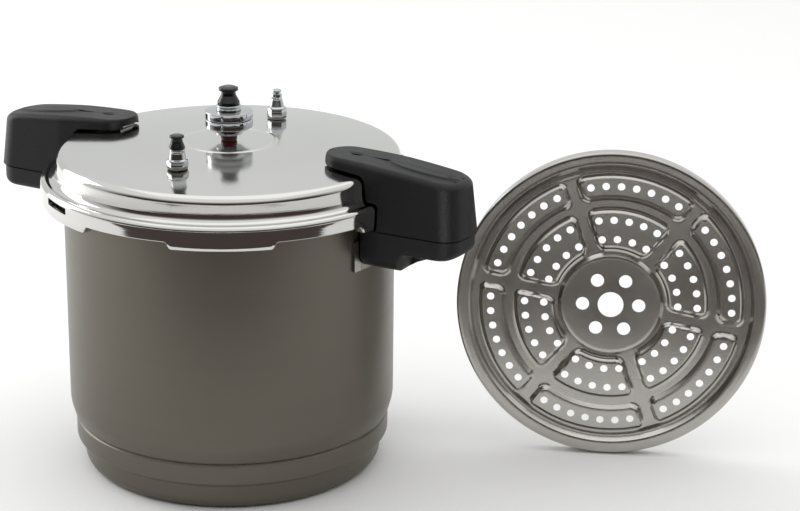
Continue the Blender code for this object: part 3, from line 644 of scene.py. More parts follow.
@dataclass
class Pot:
    """The drawn pot: a thick base, a foot, a rolled band, a straight wall and a flanged rim with six lugs."""

    floor: float = 4.5
    wall_radius: float = 133.0
    bore_radius: float = 129.5
    flange_radius: float = 140.5
    rim_top: float = 234.6
    flange_bottom: float = 227.4
    lug_radius: float = 146.8
    lug_low: float = 228.6
    lug_high: float = 232.0
    lug_half_angle: float = 13.0
    steps: int = 360

    def profile(self) -> list[Point]:
        """Draws half the pot's section, up the inside and down the outside.

        Returns:
            (radius, height) pairs from the middle of the floor to the middle of the base.
        """
        inside = [
            (0.0, self.floor, 0.0),
            (117.5, self.floor, 11.0),
            (120.5, 25.5, 3.0),
            (124.7, 29.5, 3.0),
            (124.9, 46.0, 12.0),
            (self.bore_radius, 60.0, 14.0),
            (self.bore_radius, self.rim_top, 1.6),
        ]
        outside = [
            (self.flange_radius, self.rim_top, 1.6),
            (self.flange_radius, self.lug_high, 0.0),
            (self.flange_radius, self.lug_low, 0.0),
            (self.flange_radius, self.flange_bottom, 0.9),
            (self.wall_radius, self.flange_bottom - 1.0, 1.2),
            (self.wall_radius, 55.0, 30.0),
            (129.7, 43.2, 5.0),
            (127.3, 40.9, 0.7),
            (128.7, 39.6, 0.6),
            (128.7, 24.7, 0.9),
            (124.1, 23.0, 0.6),
            (122.6, 20.4, 1.2),
            (122.0, 0.0, 10.0),
            (0.0, 0.0, 0.0),
        ]
        return rounded(inside + outside)

    def build(self, shop: Workshop) -> None:
        """Makes the pot's body with its lugs.

        Args:
            shop: where its finish and its body come from.
        """
        shape = spun(self.profile(), self.steps)
        band = [f for f in shape.faces if self.on_lug(f.calc_center_median() / MM)]
        moved = bmesh.ops.extrude_face_region(shape, geom=band)["geom"]
        bmesh.ops.delete(shape, geom=band, context="FACES_ONLY")
        out = self.lug_radius / self.flange_radius
        verts = [v for v in moved if isinstance(v, bmesh.types.BMVert)]
        bmesh.ops.scale(shape, vec=(out, out, 1.0), verts=verts)
        bmesh.ops.recalc_face_normals(shape, faces=shape.faces)
        shop.piece("pot_body_fine", shape, Slot.POT, "pot", ["pot_body"])

    def on_lug(self, middle: Vector) -> bool:
        """Says whether a face is where a lug stands out.

        Args:
            middle: the face's middle, in millimetres.

        Returns:
            True on the flange's edge within a lug's span.
        """
        if not self.lug_low < middle.z < self.lug_high or middle.xy.length < self.flange_radius - 0.2:
            return False
        angle = math.degrees(math.atan2(middle.y, middle.x)) % 60
        return min(angle, 60 - angle) < self.lug_half_angle


# ---------------------------------------------------------------- lid


def valve_place(angle: float) -> Point:
    """Where a valve stands on the crown, in millimetres, by its direction from the axis in degrees."""
    return VALVE_RADIUS * math.cos(math.radians(angle)), VALVE_RADIUS * math.sin(math.radians(angle))


@dataclass
class Lid:
    """The pressed lid: domed crown with a bead, stepped shoulder, skirt, relief window and six tabs."""

    crown_top: float = 268.6
    crown_rise: float = 6.2
    edge_radius: float = 131.5
    edge_fillet: float = 6.5
    thickness: float = 3.0
    bead_radius: float = 36.4
    bead_width: float = 1.5
    bead_height: float = 0.7
    skirt_radius: float = 150.9
    skirt_inside: float = 147.4
    roll: float = 3.9
    roll_height: float = 239.1
    tab_half_angle: float = 15.5
    tab_ease: float = 1.9
    window_angle: float = 240.0
    window_half_width: float = 16.5
    window_low: float = 233.3
    window_high: float = 238.8
    steps: int = 720

    @property
    def edge_height(self) -> float:
        """Height of the centre of the crown's edge fillet."""
        return self.crown_top - self.crown_rise - self.edge_fillet

    def crown(self, radius: float) -> float:
        """Height of the crown's top at a radius, without its bead."""
        return self.crown_top - self.crown_rise * (radius / self.edge_radius) ** 2

    def bead(self, radius: float) -> float:
        """How far the round bead lifts the crown at a radius."""
        return self.bead_height * math.exp(-(((radius - self.bead_radius) / self.bead_width) ** 2))

    def hem(self) -> list[tuple[Point, Point]]:
        """Draws the skirt's lower edge twice.

        Returns:
            For each point, its place between the tabs and its place on a tab.
        """
        outer, inner = self.skirt_radius, self.skirt_inside
        return [
            ((outer, 233.0), (outer, 232.0)),
            ((outer, 231.6), (outer, 228.4)),
            ((outer, 230.5), (outer, 225.6)),
            ((outer - 0.4, 229.9), (outer - 0.5, 224.5)),
            ((outer - 1.2, 229.6), (outer - 1.6, 223.9)),
            ((inner + 0.8, 229.6), (143.2, 223.9)),
            ((inner + 0.2, 229.9), (142.3, 224.3)),
            ((inner, 230.4), (142.0, 225.2)),
            ((inner, 230.9), (142.0, 226.6)),
            ((inner, 231.5), (142.8, 227.4)),
            ((inner, 232.2), (146.4, 227.4)),
            ((inner, 233.2), (inner, 228.6)),
        ]

    def profile(self) -> list[Point]:
        """Draws half the lid's section.

        Returns:
            (radius, height) pairs from the middle of the crown outwards and back along its underside.
        """
        radii = [0.0, 8.0, 16.0, 24.0, 30.0]
        radii += [self.bead_radius + 0.6 * k for k in range(-8, 9)]
        radii += [46.0 + 10.0 * k for k in range(9)]
        outside = [(r, self.crown(r) + self.bead(r)) for r in radii]
        outside += arc((self.edge_radius, self.edge_height), self.edge_fillet, 90, 0, 9)
        outside += [(138.5, 251.5), (139.0, 248.0), (139.5, 245.6), (140.3, 244.2), (141.4, 243.3)]
        outside += [(142.6, 242.6), (143.6, 242.2), (144.4, 242.25)]
        outside += arc((self.skirt_radius - self.roll, self.roll_height), self.roll, 112, 0, 9)
        outside += [(self.skirt_radius, 236.5)]
        inside = [(self.skirt_inside, 239.6), (138.8, 239.6), (137.2, 241.5), (136.2, 246.0)]
        inside += arc((self.edge_radius, self.edge_height), self.edge_fillet - self.thickness, 0, 90, 5)
        inside += [(r, self.crown(r) - self.thickness) for r in (110.0, 80.0, 40.0, 0.0)]
        return outside + [between for between, _ in self.hem()] + inside

    def tab_share(self, angle: float) -> float:
        """Says how far a direction is on a tab.

        Args:
            angle: the direction, in degrees.

        Returns:
            1 on a tab, 0 between tabs, and a share of 1 on a tab's two sides.
        """
        off = abs((angle + 30) % 60 - 30)
        start = self.tab_half_angle - self.tab_ease / 2
        return 1.0 - smoothstep(start, start + self.tab_ease, off)

    def build(self, shop: Workshop) -> None:
        """Makes the lid's shell and the ring that seals it.

        Args:
            shop: where their finishes and bodies come from.
        """
        shape = spun(self.profile(), self.steps)
        hem = {(round(r, 1), round(z, 1)): (Vector((r, z)), Vector(tab)) for (r, z), tab in self.hem()}
        for vert in shape.verts:
            radius, height = vert.co.xy.length / MM, vert.co.z / MM
            ends = hem.get((round(radius, 1), round(height, 1)))
            if ends is None:
                continue
            angle = math.degrees(math.atan2(vert.co.y, vert.co.x))
            target = ends[0].lerp(ends[1], self.tab_share(angle))
            vert.co = Vector((*(vert.co.xy * (target.x / radius)), target.y * MM))
        shell = carve(mesh_object("lid_shell_fine", shape), [self.window(), *self.stem_holes()])
        shop.piece("lid_shell_fine", shell, Slot.LID, "lid", ["lid_shell"])
        ring = spun(self.ring(), 240, closed=True)
        shop.piece("sealing_ring_fine", ring, Slot.GREY, "seal", ["sealing_ring"])

    def stem_holes(self) -> list[bmesh.types.BMesh]:
        """Makes the cutters of the three holes that the fittings' stems pass through.

        Returns:
            The cutters.
        """
        holes = []
        valves = [(4.1, *valve_place(angle)) for angle in (RELIEF_ANGLE, INDICATOR_ANGLE)]
        for radius, x, y in [(5.1, 0.0, 0.0), *valves]:
            hole = spun([(0.0, 275.0), (radius, 275.0), (radius, 250.0), (0.0, 250.0)], 48)
            holes.append(place(hole, Matrix.Translation((x * MM, y * MM, 0.0))))
        return holes

    def window(self) -> bmesh.types.BMesh:
        """Makes the cutter of the relief window, which the ring bulges into if the pot over-pressures.

        Returns:
            The cutter.
        """
        half = self.window_half_width
        shape = block((140.0, -half, self.window_low), (156.0, half, self.window_high), 0.9)
        return place(shape, Matrix.Rotation(math.radians(self.window_angle), 4, "Z"))

    def ring(self) -> list[Point]:
        """Draws the sealing ring's section: a squared bead with a lip groove in its inner side.

        Returns:
            (radius, height) pairs.
        """
        low, high = 234.9, 239.4
        return rounded(
            [
                (131.6, high, 0.8),
                (147.0, high, 0.8),
                (147.0, low, 0.8),
                (131.6, low, 0.8),
                (131.6, 236.3, 0.3),
                (133.6, 236.7, 0.3),
                (133.6, 237.6, 0.3),
                (131.6, 238.0, 0.3),
            ],
            3,
        )

    def clearance(self, gap: float, top_gap: float) -> bmesh.types.BMesh:
        """A solid of the lid's outer form grown by a gap, to cut the handles around it.

        Args:
            gap: room left at the lid's side, in millimetres.
            top_gap: room left over the crown.

        Returns:
            The cutter.
        """
        profile = [(0.0, self.crown_top + top_gap)]
        profile += [(r, self.crown(r) + top_gap) for r in (40.0, 70.0, 90.0, 110.0, 125.0)]
        profile += [
            (r + gap, z + (top_gap if r < self.edge_radius + 3 else gap))
            for r, z in arc((self.edge_radius, self.edge_height), self.edge_fillet, 85, 0, 5)
        ]
        profile += rounded(
            [
                (139.8 + gap, 246.5, 0.0),
                (140.8 + gap, 243.6 + gap, 2.0),
                (self.skirt_radius + gap, 243.2 + gap, 4.0),
                (self.skirt_radius + gap, 180.0, 0.0),
                (0.0, 180.0, 0.0),
            ]
        )
        return spun(profile, 288)


# ---------------------------------------------------------------- handles


@dataclass
class HandlePlan:
    """The outline from above that the upper and lower handles share, on the +X side."""

    nose: float = 93.3
    nose_half: float = 20.4
    end: float = 218.3
    half: float = 26.8
    points: int = 240

    def outline(self, inset: float = 0.0, inner: float | None = None) -> list[Point]:
        """Evenly spaced points of the outline.

        Args:
            inset: how much narrower and shorter the outline is, in millimetres.
            inner: where the inner end is, if not at the nose.

        Returns:
            The points, in order from the middle of the outer end, the same on both sides of the axis.
        """
        start = self.nose if inner is None else inner
        nose_half = self.nose_half if inner is None else self.half - 3.0
        half, end = self.half - inset, self.end - inset
        corners = [
            (end, 0.0, 40.0),
            (end - 4.0, half - 1.0, 17.0),
            (150.0, half, 60.0),
            (start, nose_half - inset * 0.5, nose_half * 0.86),
            (start, -nose_half + inset * 0.5, nose_half * 0.86),
            (150.0, -half, 60.0),
            (end - 4.0, -half + 1.0, 17.0),
        ]
        points = rounded(corners, 12)
        return evenly_spaced(points[6:] + points[:6], self.points)


def spine_fold(point: Point, share: float, spine: Point) -> Point:
    """Pulls an outline's point by a share of the way towards the spine, given by its two ends along x."""
    nearest = min(spine[1], max(spine[0], point[0]))
    return point[0] + (nearest - point[0]) * share, point[1] * (1.0 - share)


@dataclass
class UpperHandle:
    """The lid's handle: its nose overhangs the crown, and its body drops outside the skirt."""

    plan: HandlePlan = field(default_factory=HandlePlan)
    bottom: float = 223.3
    top: float = 274.5
    fall: float = 10.3
    draft: float = 3.2
    edge_round: float = 5.5
    wall_levels: int = 6
    top_rings: int = 30
    pad_centre: float = 177.0
    pad_size: Point = (31.0, 9.5)
    pad_rise: float = 1.1
    dimple_centre: float = 117.0
    dimple_size: Point = (8.5, 4.6)
    dimple_depth: float = 0.9
    spine: Point = (112.0, 196.0)

    def top_at(self, x: float) -> float:
        """Height of the handle's top, which falls towards its outer end."""
        share = max(0.0, (x - self.plan.nose) / (self.plan.end - self.plan.nose))
        return self.top - self.fall * share**2.0

    def relief(self, x: float, y: float) -> float:
        """Says how far the oval pad and the thumb dimple lift or sink the top.

        Args:
            x: the place along the handle.
            y: the place across it.

        Returns:
            A height, negative in the dimple.
        """
        pad = math.hypot((x - self.pad_centre) / self.pad_size[0], y / self.pad_size[1])
        dimple = math.hypot((x - self.dimple_centre) / self.dimple_size[0], y / self.dimple_size[1])
        rise = self.pad_rise * (1.0 - smoothstep(0.9, 1.04, pad))
        return rise - self.dimple_depth * (1.0 - smoothstep(0.2, 1.0, dimple))

    def loops(self) -> list[list[Vector]]:
        """Lays the loops from the parting face up the wall, over the rounded edge and in to the spine.

        Returns:
            The loops, in millimetres.
        """
        loops = []
        base = self.plan.outline()
        tip = self.plan.outline(self.draft)
        for level in range(self.wall_levels + 1):
            share = level / self.wall_levels
            loop = []
            for low, high in zip(base, tip):
                x, y = Vector(low).lerp(Vector(high), share)
                rise = self.top_at(x) - self.edge_round - self.bottom
                loop.append(Vector((x, y, self.bottom + rise * share)))
            loops.append(loop)
        for angle in (15, 30, 45, 60, 75, 90):
            turn = math.radians(angle)
            inner = self.plan.outline(self.draft + self.edge_round * (1 - math.cos(turn)))
            lift = self.edge_round * (math.sin(turn) - 1)
            loops.append([Vector((x, y, self.top_at(x) + lift)) for x, y in inner])
        inner = self.plan.outline(self.draft + self.edge_round)
        for ring in range(1, self.top_rings + 1):
            folded = [spine_fold(p, (ring - 0.3) / self.top_rings, self.spine) for p in inner]
            loops.append([Vector((x, y, self.top_at(x) + self.relief(x, y))) for x, y in folded])
        return loops

    def build(self, shop: Workshop, lid: Lid) -> None:
        """Makes both upper handles and dresses their straps, rivets and screws.

        Args:
            shop: where their finishes and bodies come from.
            lid: the lid that they are cut around.
        """
        for label, turn in (("right", 0.0), ("left", math.pi)):
            body = mesh_object(f"upper_handle_{label}", lofted(self.loops()))
            carve(body, [lid.clearance(1.2, 1.8)])
            carve(body, [self.strap_slot()])
            body.data.transform(Matrix.Rotation(turn, 4, "Z"))
            shop.piece(f"upper_handle_{label}", body, Slot.HANDLE, "lid", [f"lid_handle_{label}"])
            shop.dress(
                Slot.STEEL,
                [f"lid_bracket_{label}", f"lid_bracket_rivet_{label}", f"lid_handle_screw_{label}"],
            )

    def strap_slot(self) -> bmesh.types.BMesh:
        """The cutter of the slot under the nose that the strap comes out of."""
        return block((80.0, -11.0, 240.0), (126.0, 11.0, 268.9), 0.6)


@dataclass
class LowerHandle:
    """The pot's handle: a slim grip with a lobe against the wall and a boss for its screw."""

    plan: HandlePlan = field(default_factory=HandlePlan)
    top: float = 222.6
    inner: float = 120.0
    inset: float = 1.3
    grip_bottom: float = 206.0
    lobe_bottom: float = 190.6
    lobe_end: Point = (165.0, 173.0)
    boss_x: float = 177.0
    boss_radius: float = 9.0
    boss_bottom: float = 199.7
    edge_round: float = 4.5
    wall_levels: int = 5
    bottom_rings: int = 22
    top_edge: float = 0.8
    spine: Point = (140.0, 196.0)

    def bottom_at(self, x: float, y: float) -> float:
        """Gives the height of the handle's underside.

        Args:
            x: the place along the handle.
            y: the place across it.

        Returns:
            The height of the grip, the lobe or the boss there.
        """
        lobe = 1.0 - smoothstep(*self.lobe_end, x)
        lobe *= 1.0 - 0.42 * smoothstep(14.0, self.plan.half, abs(y))
        level = self.grip_bottom + (self.lobe_bottom - self.grip_bottom) * lobe
        outer = smoothstep(200.0, self.plan.end, x)
        level += 4.0 * outer * outer
        off = math.hypot(x - self.boss_x, y)
        boss = 1.0 - smoothstep(self.boss_radius - 1.5, self.boss_radius + 2.5, off)
        return min(level, level + (self.boss_bottom - level) * boss)

    def loops(self) -> list[list[Vector]]:
        """Lays the loops from the top face down the wall, round the edge and in under the grip.

        Returns:
            The loops, in millimetres.
        """
        rim = self.plan.outline(self.inset, self.inner)
        start = self.top - self.top_edge
        first = self.plan.outline(self.inset + self.top_edge, self.inner)
        loops = [[Vector((x, y, self.top)) for x, y in first]]
        for level in range(self.wall_levels + 1):
            share = level / self.wall_levels
            loops.append([
                Vector((x, y, start + (self.bottom_at(x, y) + self.edge_round - start) * share))
                for x, y in rim
            ])
        for angle in (15, 30, 45, 60, 75, 90):
            turn = math.radians(angle)
            drop = self.edge_round * (1 - math.sin(turn))
            inner = self.plan.outline(self.inset + self.edge_round * (1 - math.cos(turn)), self.inner)
            loops.append([Vector((x, y, self.bottom_at(x, y) + drop)) for x, y in inner])
        inner = self.plan.outline(self.inset + self.edge_round, self.inner)
        for ring in range(1, self.bottom_rings + 1):
            folded = [spine_fold(p, (ring - 0.3) / self.bottom_rings, self.spine) for p in inner]
            loops.append([Vector((x, y, self.bottom_at(x, y))) for x, y in folded])
        return loops

    def build(self, shop: Workshop) -> None:
        """Makes both lower handles and dresses their plates, rivets and screws.

        Args:
            shop: where their finishes and bodies come from.
        """
        for label, turn in (("right", 0.0), ("left", math.pi)):
            body = mesh_object(f"lower_handle_{label}", lofted(self.loops()))
            carve(body, [spun([(0.0, 240.0), (135.9, 240.0), (135.9, 170.0), (0.0, 170.0)], 360)])
            carve(body, [self.screw_bore()])
            body.data.transform(Matrix.Rotation(turn, 4, "Z"))
            shop.piece(f"lower_handle_{label}", body, Slot.HANDLE, "pot", [f"pot_handle_{label}"])
            nodes = [f"pot_bracket_{label}", f"pot_handle_screw_{label}"]
            nodes += [f"pot_bracket_rivet_{label}_{letter}" for letter in "ab"]
            shop.dress(Slot.STEEL, nodes)

    def screw_bore(self) -> bmesh.types.BMesh:
        """The cutter of the counterbore that the screw's head sits in."""
        shape = spun([(0.0, 197.2), (5.0, 197.2), (5.0, 180.0), (0.0, 180.0)], 40)
        return place(shape, Matrix.Translation((157.0 * MM, 0, 0)))


# ---------------------------------------------------------------- fittings


@dataclass
class Regulator:
    """The weighted regulator on its vent pipe: a spindle, two weight rings and a knob."""

    ring_radius: float = 19.15
    steps: int = 128

    def build(self, shop: Workshop) -> None:
        """Makes the regulator, the pipe it sits on and the pipe's red seal.

        Args:
            shop: where their finishes and bodies come from.
        """
        rings = {"lower": (276.3, 280.3, 286.6, 13.0), "upper": (286.9, 287.6, 293.3, 18.4)}
        for label, (low, shoulder, high, foot) in rings.items():
            shape = spun(self.ring(low, shoulder, high, foot), self.steps, closed=True)
            shop.piece(f"weight_ring_{label}", shape, Slot.CHROME, "regulator", [f"regulator_ring_{label}"])
        spindle, knob = spun(self.spindle(), self.steps), spun(self.knob(), self.steps)
        shop.piece("regulator_spindle", spindle, Slot.CHROME, "regulator", ["regulator_core"])
        shop.piece("regulator_knob_fine", knob, Slot.KNOB, "regulator", ["regulator_knob"])
        shop.piece("vent_pipe_fine", spun(self.pipe(), 64, closed=True), Slot.CHROME, "lid", ["vent_pipe"])
        shop.piece("vent_seal_fine", spun(self.seal(), 64, closed=True), Slot.RED, "lid", ["vent_pipe_seal"])
        shop.dress(Slot.STEEL, ["vent_pipe_nut"])

    def ring(self, low: float, shoulder: float, high: float, foot: float) -> list[Point]:
        """Draws a weight ring's section, with a chamfered foot and fine rounded edges.

        Args:
            low: height of its underside.
            shoulder: height where it reaches its full width.
            high: height of its top.
            foot: radius of its underside.

        Returns:
            (radius, height) pairs.
        """
        outer = self.ring_radius
        return rounded(
            [
                (8.3, high, 0.0),
                (outer, high, 0.8),
                (outer, shoulder, 0.5),
                (foot, low, 0.5),
                (8.3, low, 0.0),
            ],
            4,
        )

    def spindle(self) -> list[Point]:
        """Draws the spindle's section, with the collar under the knob and the bore for the pipe.

        Returns:
            (radius, height) pairs.
        """
        return rounded(
            [
                (0.0, 298.0, 0.0),
                (9.8, 298.0, 0.7),
                (9.8, 296.2, 0.3),
                (9.2, 295.8, 0.3),
                (9.8, 295.4, 0.3),
                (9.8, 293.6, 0.0),
                (8.0, 293.6, 0.0),
                (8.0, 276.0, 0.0),
                (11.0, 276.0, 0.4),
                (11.0, 274.2, 0.4),
                (5.2, 274.2, 0.3),
                (5.2, 284.0, 0.0),
                (3.8, 290.0, 0.0),
                (0.0, 290.0, 0.0),
            ],
            3,
        )

    def knob(self) -> list[Point]:
        """Draws the knob's section: a mushroom cap over a waisted skirt.

        Returns:
            (radius, height) pairs.
        """
        return rounded(
            [
                (0.0, 312.9, 0.0),
                (4.6, 312.9, 2.2),
                (7.8, 311.8, 0.9),
                (7.9, 309.7, 0.8),
                (5.5, 308.4, 0.9),
                (6.2, 305.5, 4.0),
                (8.9, 300.4, 1.0),
                (8.9, 298.3, 0.4),
                (0.0, 298.3, 0.0),
            ],
            6,
        )

    def pipe(self) -> list[Point]:
        """Draws the vent pipe's section, with the thread as rings below the crown.

        Returns:
            (radius, height) pairs.
        """
        thread = [(5.0 if k % 2 == 0 else 4.6, 264.8 - 0.5 * k) for k in range(16)]
        return [
            (1.6, 289.0),
            (2.9, 289.0),
            (3.3, 288.6),
            (4.6, 283.0),
            (4.6, 273.8),
            (5.9, 273.8),
            (6.2, 273.6),
            (6.2, 273.0),
            (5.0, 273.0),
            *thread,
            (4.4, 256.5),
            (1.6, 256.5),
        ]

    def seal(self) -> list[Point]:
        """The red seal's section: a round bead."""
        return rounded([(5.3, 272.7, 0.0), (6.5, 272.7, 1.0), (6.5, 268.9, 1.0), (5.3, 268.9, 0.0)], 5)


@dataclass
class ReliefValve:
    """The spring relief valve: a chromed housing with a hexagon and a black pull cap."""

    angle: float = RELIEF_ANGLE
    base: float = 268.5
    under: float = 254.1
    spring_turns: int = 6

    def here(self) -> Matrix:
        """Moves a piece from the pot's axis to the valve's place."""
        x, y = valve_place(self.angle)
        return Matrix.Translation((x * MM, y * MM, 0.0))

    def build(self, shop: Workshop) -> None:
        """Makes the housing, its hexagon, the cap and its spring, and dresses the hidden parts.

        Args:
            shop: where their finishes and bodies come from.
        """
        body = place(spun(self.housing(), 80, closed=True), self.here())
        shop.piece("relief_housing", body, Slot.CHROME, "lid", ["release_valve_body"])
        collar = place(hexagon(15.0, self.base, self.base + 4.2), self.here())
        shop.piece("relief_hexagon", collar, Slot.CHROME, "lid")
        cap = place(spun(self.cap(), 80), self.here())
        shop.piece("relief_cap", cap, Slot.KNOB, "release_cap", ["release_valve_cap"])
        low, high = self.under + 8.3, self.base + 11.8
        coil = place(self.spring(low, high), self.here())
        spring = shop.piece("relief_spring", coil, Slot.STEEL, "lid", ["release_valve_spring"])
        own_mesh(spring)
        shop.dress(Slot.RED, ["release_valve_pad"])
        shop.dress(Slot.GREY, ["release_valve_seal"])
        shop.dress(Slot.STEEL, ["release_valve_nut"])

    def spring(self, low: float, high: float) -> bmesh.types.BMesh:
        """Winds the coil spring's wire.

        Args:
            low: height of the coil's lower end.
            high: height of its upper end.

        Returns:
            The wire's mesh.
        """
        steps, wire, radius = 24, 0.35, 2.15
        loops = []
        for k in range(self.spring_turns * steps + 1):
            around = Matrix.Rotation(math.tau * k / steps, 3, "Z")
            lift = low + wire + (high - low - 2 * wire) * k / (self.spring_turns * steps)
            ring = arc((radius, lift), wire, 0, 315, 7)
            loops.append([around @ Vector((r, 0.0, z)) for r, z in ring])
        return lofted(loops)

    def housing(self) -> list[Point]:
        """Draws the housing's section: a turned cone over a stepped collar, hollow inside.

        Returns:
            (radius, height) pairs.
        """
        base, under = self.base, self.under
        return rounded(
            [
                (1.7, base + 13.7, 0.0),
                (5.7, base + 13.7, 0.5),
                (5.9, base + 11.4, 0.2),
                (5.6, base + 11.1, 0.2),
                (5.9, base + 10.8, 0.2),
                (6.6, base + 6.0, 0.4),
                (8.1, base + 5.3, 0.6),
                (8.1, base + 4.3, 0.4),
                (6.6, base + 4.0, 0.0),
                (6.6, base + 0.3, 0.0),
                (4.0, base, 0.0),
                (4.0, under, 0.3),
                (1.7, under, 0.0),
                (1.7, under + 3.6, 0.0),
                (3.0, under + 4.0, 0.0),
                (3.0, base + 12.4, 0.0),
                (1.7, base + 12.4, 0.0),
            ],
            3,
        )

    def cap(self) -> list[Point]:
        """Draws the pull cap's section, down to the flange that the spring bears on.

        Returns:
            (radius, height) pairs.
        """
        low, flange = self.base + 14.0, self.under + 6.6
        return rounded(
            [
                (0.0, low + 11.1, 0.0),
                (3.4, low + 11.1, 1.6),
                (5.6, low + 10.4, 0.8),
                (5.7, low + 8.9, 0.7),
                (4.2, low + 8.0, 0.7),
                (4.6, low + 5.4, 3.0),
                (6.2, low + 1.2, 0.8),
                (6.1, low, 0.4),
                (1.3, low, 0.0),
                (1.3, flange + 1.0, 0.0),
                (2.6, flange + 1.0, 0.0),
                (2.6, flange, 0.0),
                (0.0, flange, 0.0),
            ],
            5,
        )


@dataclass
class Indicator(ReliefValve):
    """The pressure indicator: a taller chromed cone whose pin rises under pressure."""

    angle: float = INDICATOR_ANGLE

    def build(self, shop: Workshop) -> None:
        """Makes the housing, its hexagon and the pin, and dresses the hidden parts.

        Args:
            shop: where their finishes and bodies come from.
        """
        body = place(spun(self.housing(), 80, closed=True), self.here())
        shop.piece("indicator_housing", body, Slot.CHROME, "lid", ["indicator_body"])
        collar = place(hexagon(14.4, self.base, self.base + 6.6), self.here())
        shop.piece("indicator_hexagon", collar, Slot.CHROME, "lid")
        pin = place(spun(self.pin(), 64), self.here())
        shop.piece("indicator_pin_fine", pin, Slot.CHROME, "indicator_pin", ["indicator_pin"])
        shop.dress(Slot.GREY, ["indicator_seal"])
        shop.dress(Slot.STEEL, ["indicator_nut"])

    def housing(self) -> list[Point]:
        """Draws the housing's section: a tall cone over a collar, bored for the pin.

        Returns:
            (radius, height) pairs.
        """
        base, under = self.base, self.under
        return rounded(
            [
                (2.1, base + 19.0, 0.0),
                (4.1, base + 19.0, 0.4),
                (4.6, base + 15.0, 0.3),
                (4.3, base + 14.6, 0.2),
                (4.7, base + 14.2, 0.3),
                (6.2, base + 8.4, 0.6),
                (7.7, base + 7.4, 0.6),
                (7.7, base + 6.7, 0.3),
                (6.4, base + 6.4, 0.0),
                (6.4, base + 0.3, 0.0),
                (4.0, base, 0.0),
                (4.0, under, 0.3),
                (2.1, under, 0.0),
            ],
            3,
        )

    def pin(self) -> list[Point]:
        """Draws the pin's section, with a button head and a lower stop.

        Returns:
            (radius, height) pairs.
        """
        low, foot = self.base + 19.3, self.under - 5.0
        return rounded(
            [
                (0.0, low + 3.2, 0.0),
                (3.9, low + 3.2, 1.2),
                (3.9, low + 1.2, 0.5),
                (1.8, low + 0.6, 0.3),
                (1.8, foot, 0.0),
                (3.6, foot, 0.3),
                (3.6, foot - 1.6, 0.3),
                (0.0, foot - 1.6, 0.0),
            ],
            4,
        )


# ---------------------------------------------------------------- rack


